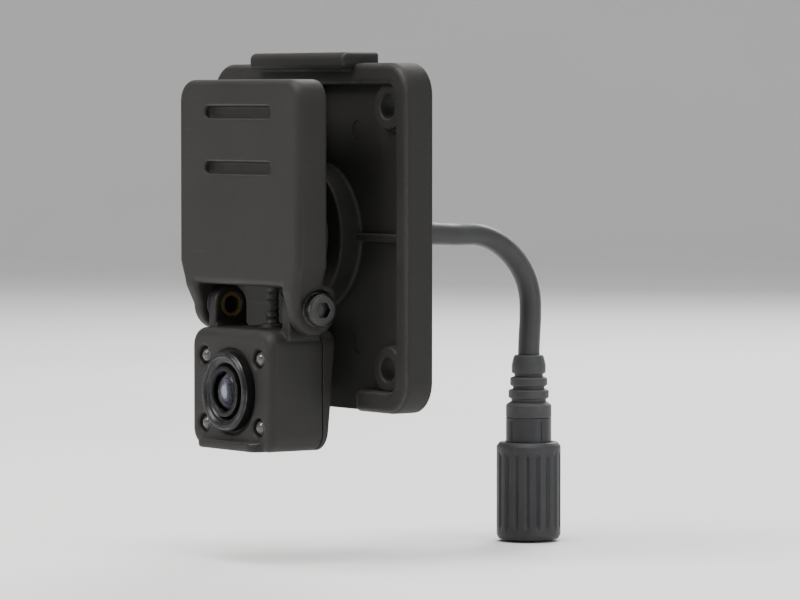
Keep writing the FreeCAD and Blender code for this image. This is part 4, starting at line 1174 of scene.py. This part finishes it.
# ---- build everything ----
mounting_frame()
frame_gasket()
stem_nut()
stem_seal()
rear_housing()
front_cover()
pan_heads("housing_screw_heads", HOUSING_SCREWS, HOUSING_SCREW_R, COVER_BACK_D, 1.2, 0.8, 18.6, "base",
          "housing_screws")
head_shell()
head_cover()
pan_heads("head_screw_heads", HEAD_SCREWS, HEAD_SCREW_R, 10.3, 1.0, 0.65, 16.4, "camera_head", "head_screws")
lens_ring()
lens_tube()
lens_lock_ring()
lenses()
lights()
tilt_screw(1, "tilt_screw_right", "right_screw")
tilt_screw(-1, "tilt_screw_left", "left_screw")
link_cable()
strain_relief()
cable()
plug_tail()
plug_shell()
coupling_ring()

slot_of = {entry["node"]: entry["material_slot"] for entry in frame["record"]["subparts"]}
for name, node in frame["nodes"].items():
    node.data.materials.clear()
    node.data.materials.append(LOOKS[slot_of[name]])
    finish = node.modifiers.new("soft edges", "BEVEL")
    finish.width, finish.segments, finish.limit_method = 0.04 * MM, 1, "ANGLE"
    finish.angle_limit = math.radians(40)
    smooth_but_corners(node.data, 35)


# ---- studio ----
def studio_floor():
    """A pale floor below the lowest part, which curves up into a backdrop all round, in metres."""
    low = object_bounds()[0][2] - 0.0005
    flat_r, curve_r, top = 1.6, 0.8, 2.4
    turns = [math.pi / 2 * i / 12 for i in range(1, 13)]
    profile = [(0.0, 0.0), (0.3, 0.0), (0.9, 0.0), (flat_r, 0.0)]
    profile += [(flat_r + curve_r * math.sin(t), curve_r - curve_r * math.cos(t)) for t in turns]
    b = Build()
    b.lathe(lambda u, v, w: (u, v, low + w), profile + [(flat_r + curve_r, top)])
    floor = in_scene("studio_floor", b.mesh("studio_floor"))
    floor.data.flip_normals()
    smooth_but_corners(floor.data, 180.0)
    s = Shader("pale floor")
    tone = s.mix(s.between(s.noise(6.0), 0.3, 0.7), (0.78, 0.78, 0.77), (0.81, 0.81, 0.8))
    floor.data.materials.append(s.set(Base_Color=tone, Roughness=0.75))
    floor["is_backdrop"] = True


def area_light(name, place, target, size, power, colour=(1.0, 1.0, 1.0)):
    data = bpy.data.lights.new(name, "AREA")
    data.shape, data.size, data.size_y = "RECTANGLE", size[0], size[1]
    data.energy, data.color = power, colour
    light = in_scene(name, data)
    light.location = place
    light.rotation_euler = (Vector(target) - Vector(place)).to_track_quat("-Z", "Y").to_euler()
    light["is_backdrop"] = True


def camera(azimuth, elevation, distance, target, lens):
    data = bpy.data.cameras.new("camera")
    data.lens, data.clip_start, data.clip_end = lens, 0.01, 20.0
    view = in_scene("camera", data)
    az, el = math.radians(azimuth), math.radians(elevation)
    offset = Vector((math.sin(az) * math.cos(el), -math.cos(az) * math.cos(el), math.sin(el))) * distance
    view.location = Vector(target) + offset
    view.rotation_euler = (-offset).to_track_quat("-Z", "Y").to_euler()
    bpy.context.scene.camera = view


studio_floor()
middle = (0.0, 0.0, -0.01)
area_light("key", (-0.15, -0.75, 0.7), middle, (0.5, 0.5), 9.0, (1.0, 0.98, 0.95))
area_light("fill", (0.93, 0.3, 0.2), middle, (0.3, 0.9), 4.0, (0.95, 0.97, 1.0))
area_light("top", (0.05, -0.05, 0.95), middle, (0.6, 0.6), 12.0)
area_light("rim", (-0.5, 0.7, 0.5), middle, (0.5, 0.4), 7.0)
world = bpy.data.worlds.new("studio")
world.use_nodes = True
sky = world.node_tree.nodes["Background"]
sky.inputs["Color"].default_value = (0.85, 0.87, 0.9, 1.0)
sky.inputs["Strength"].default_value = 0.45
bpy.context.scene.world = world
camera(54.5, 2.5, 0.86, (0.002, 0.014, -0.0125), 205.0)
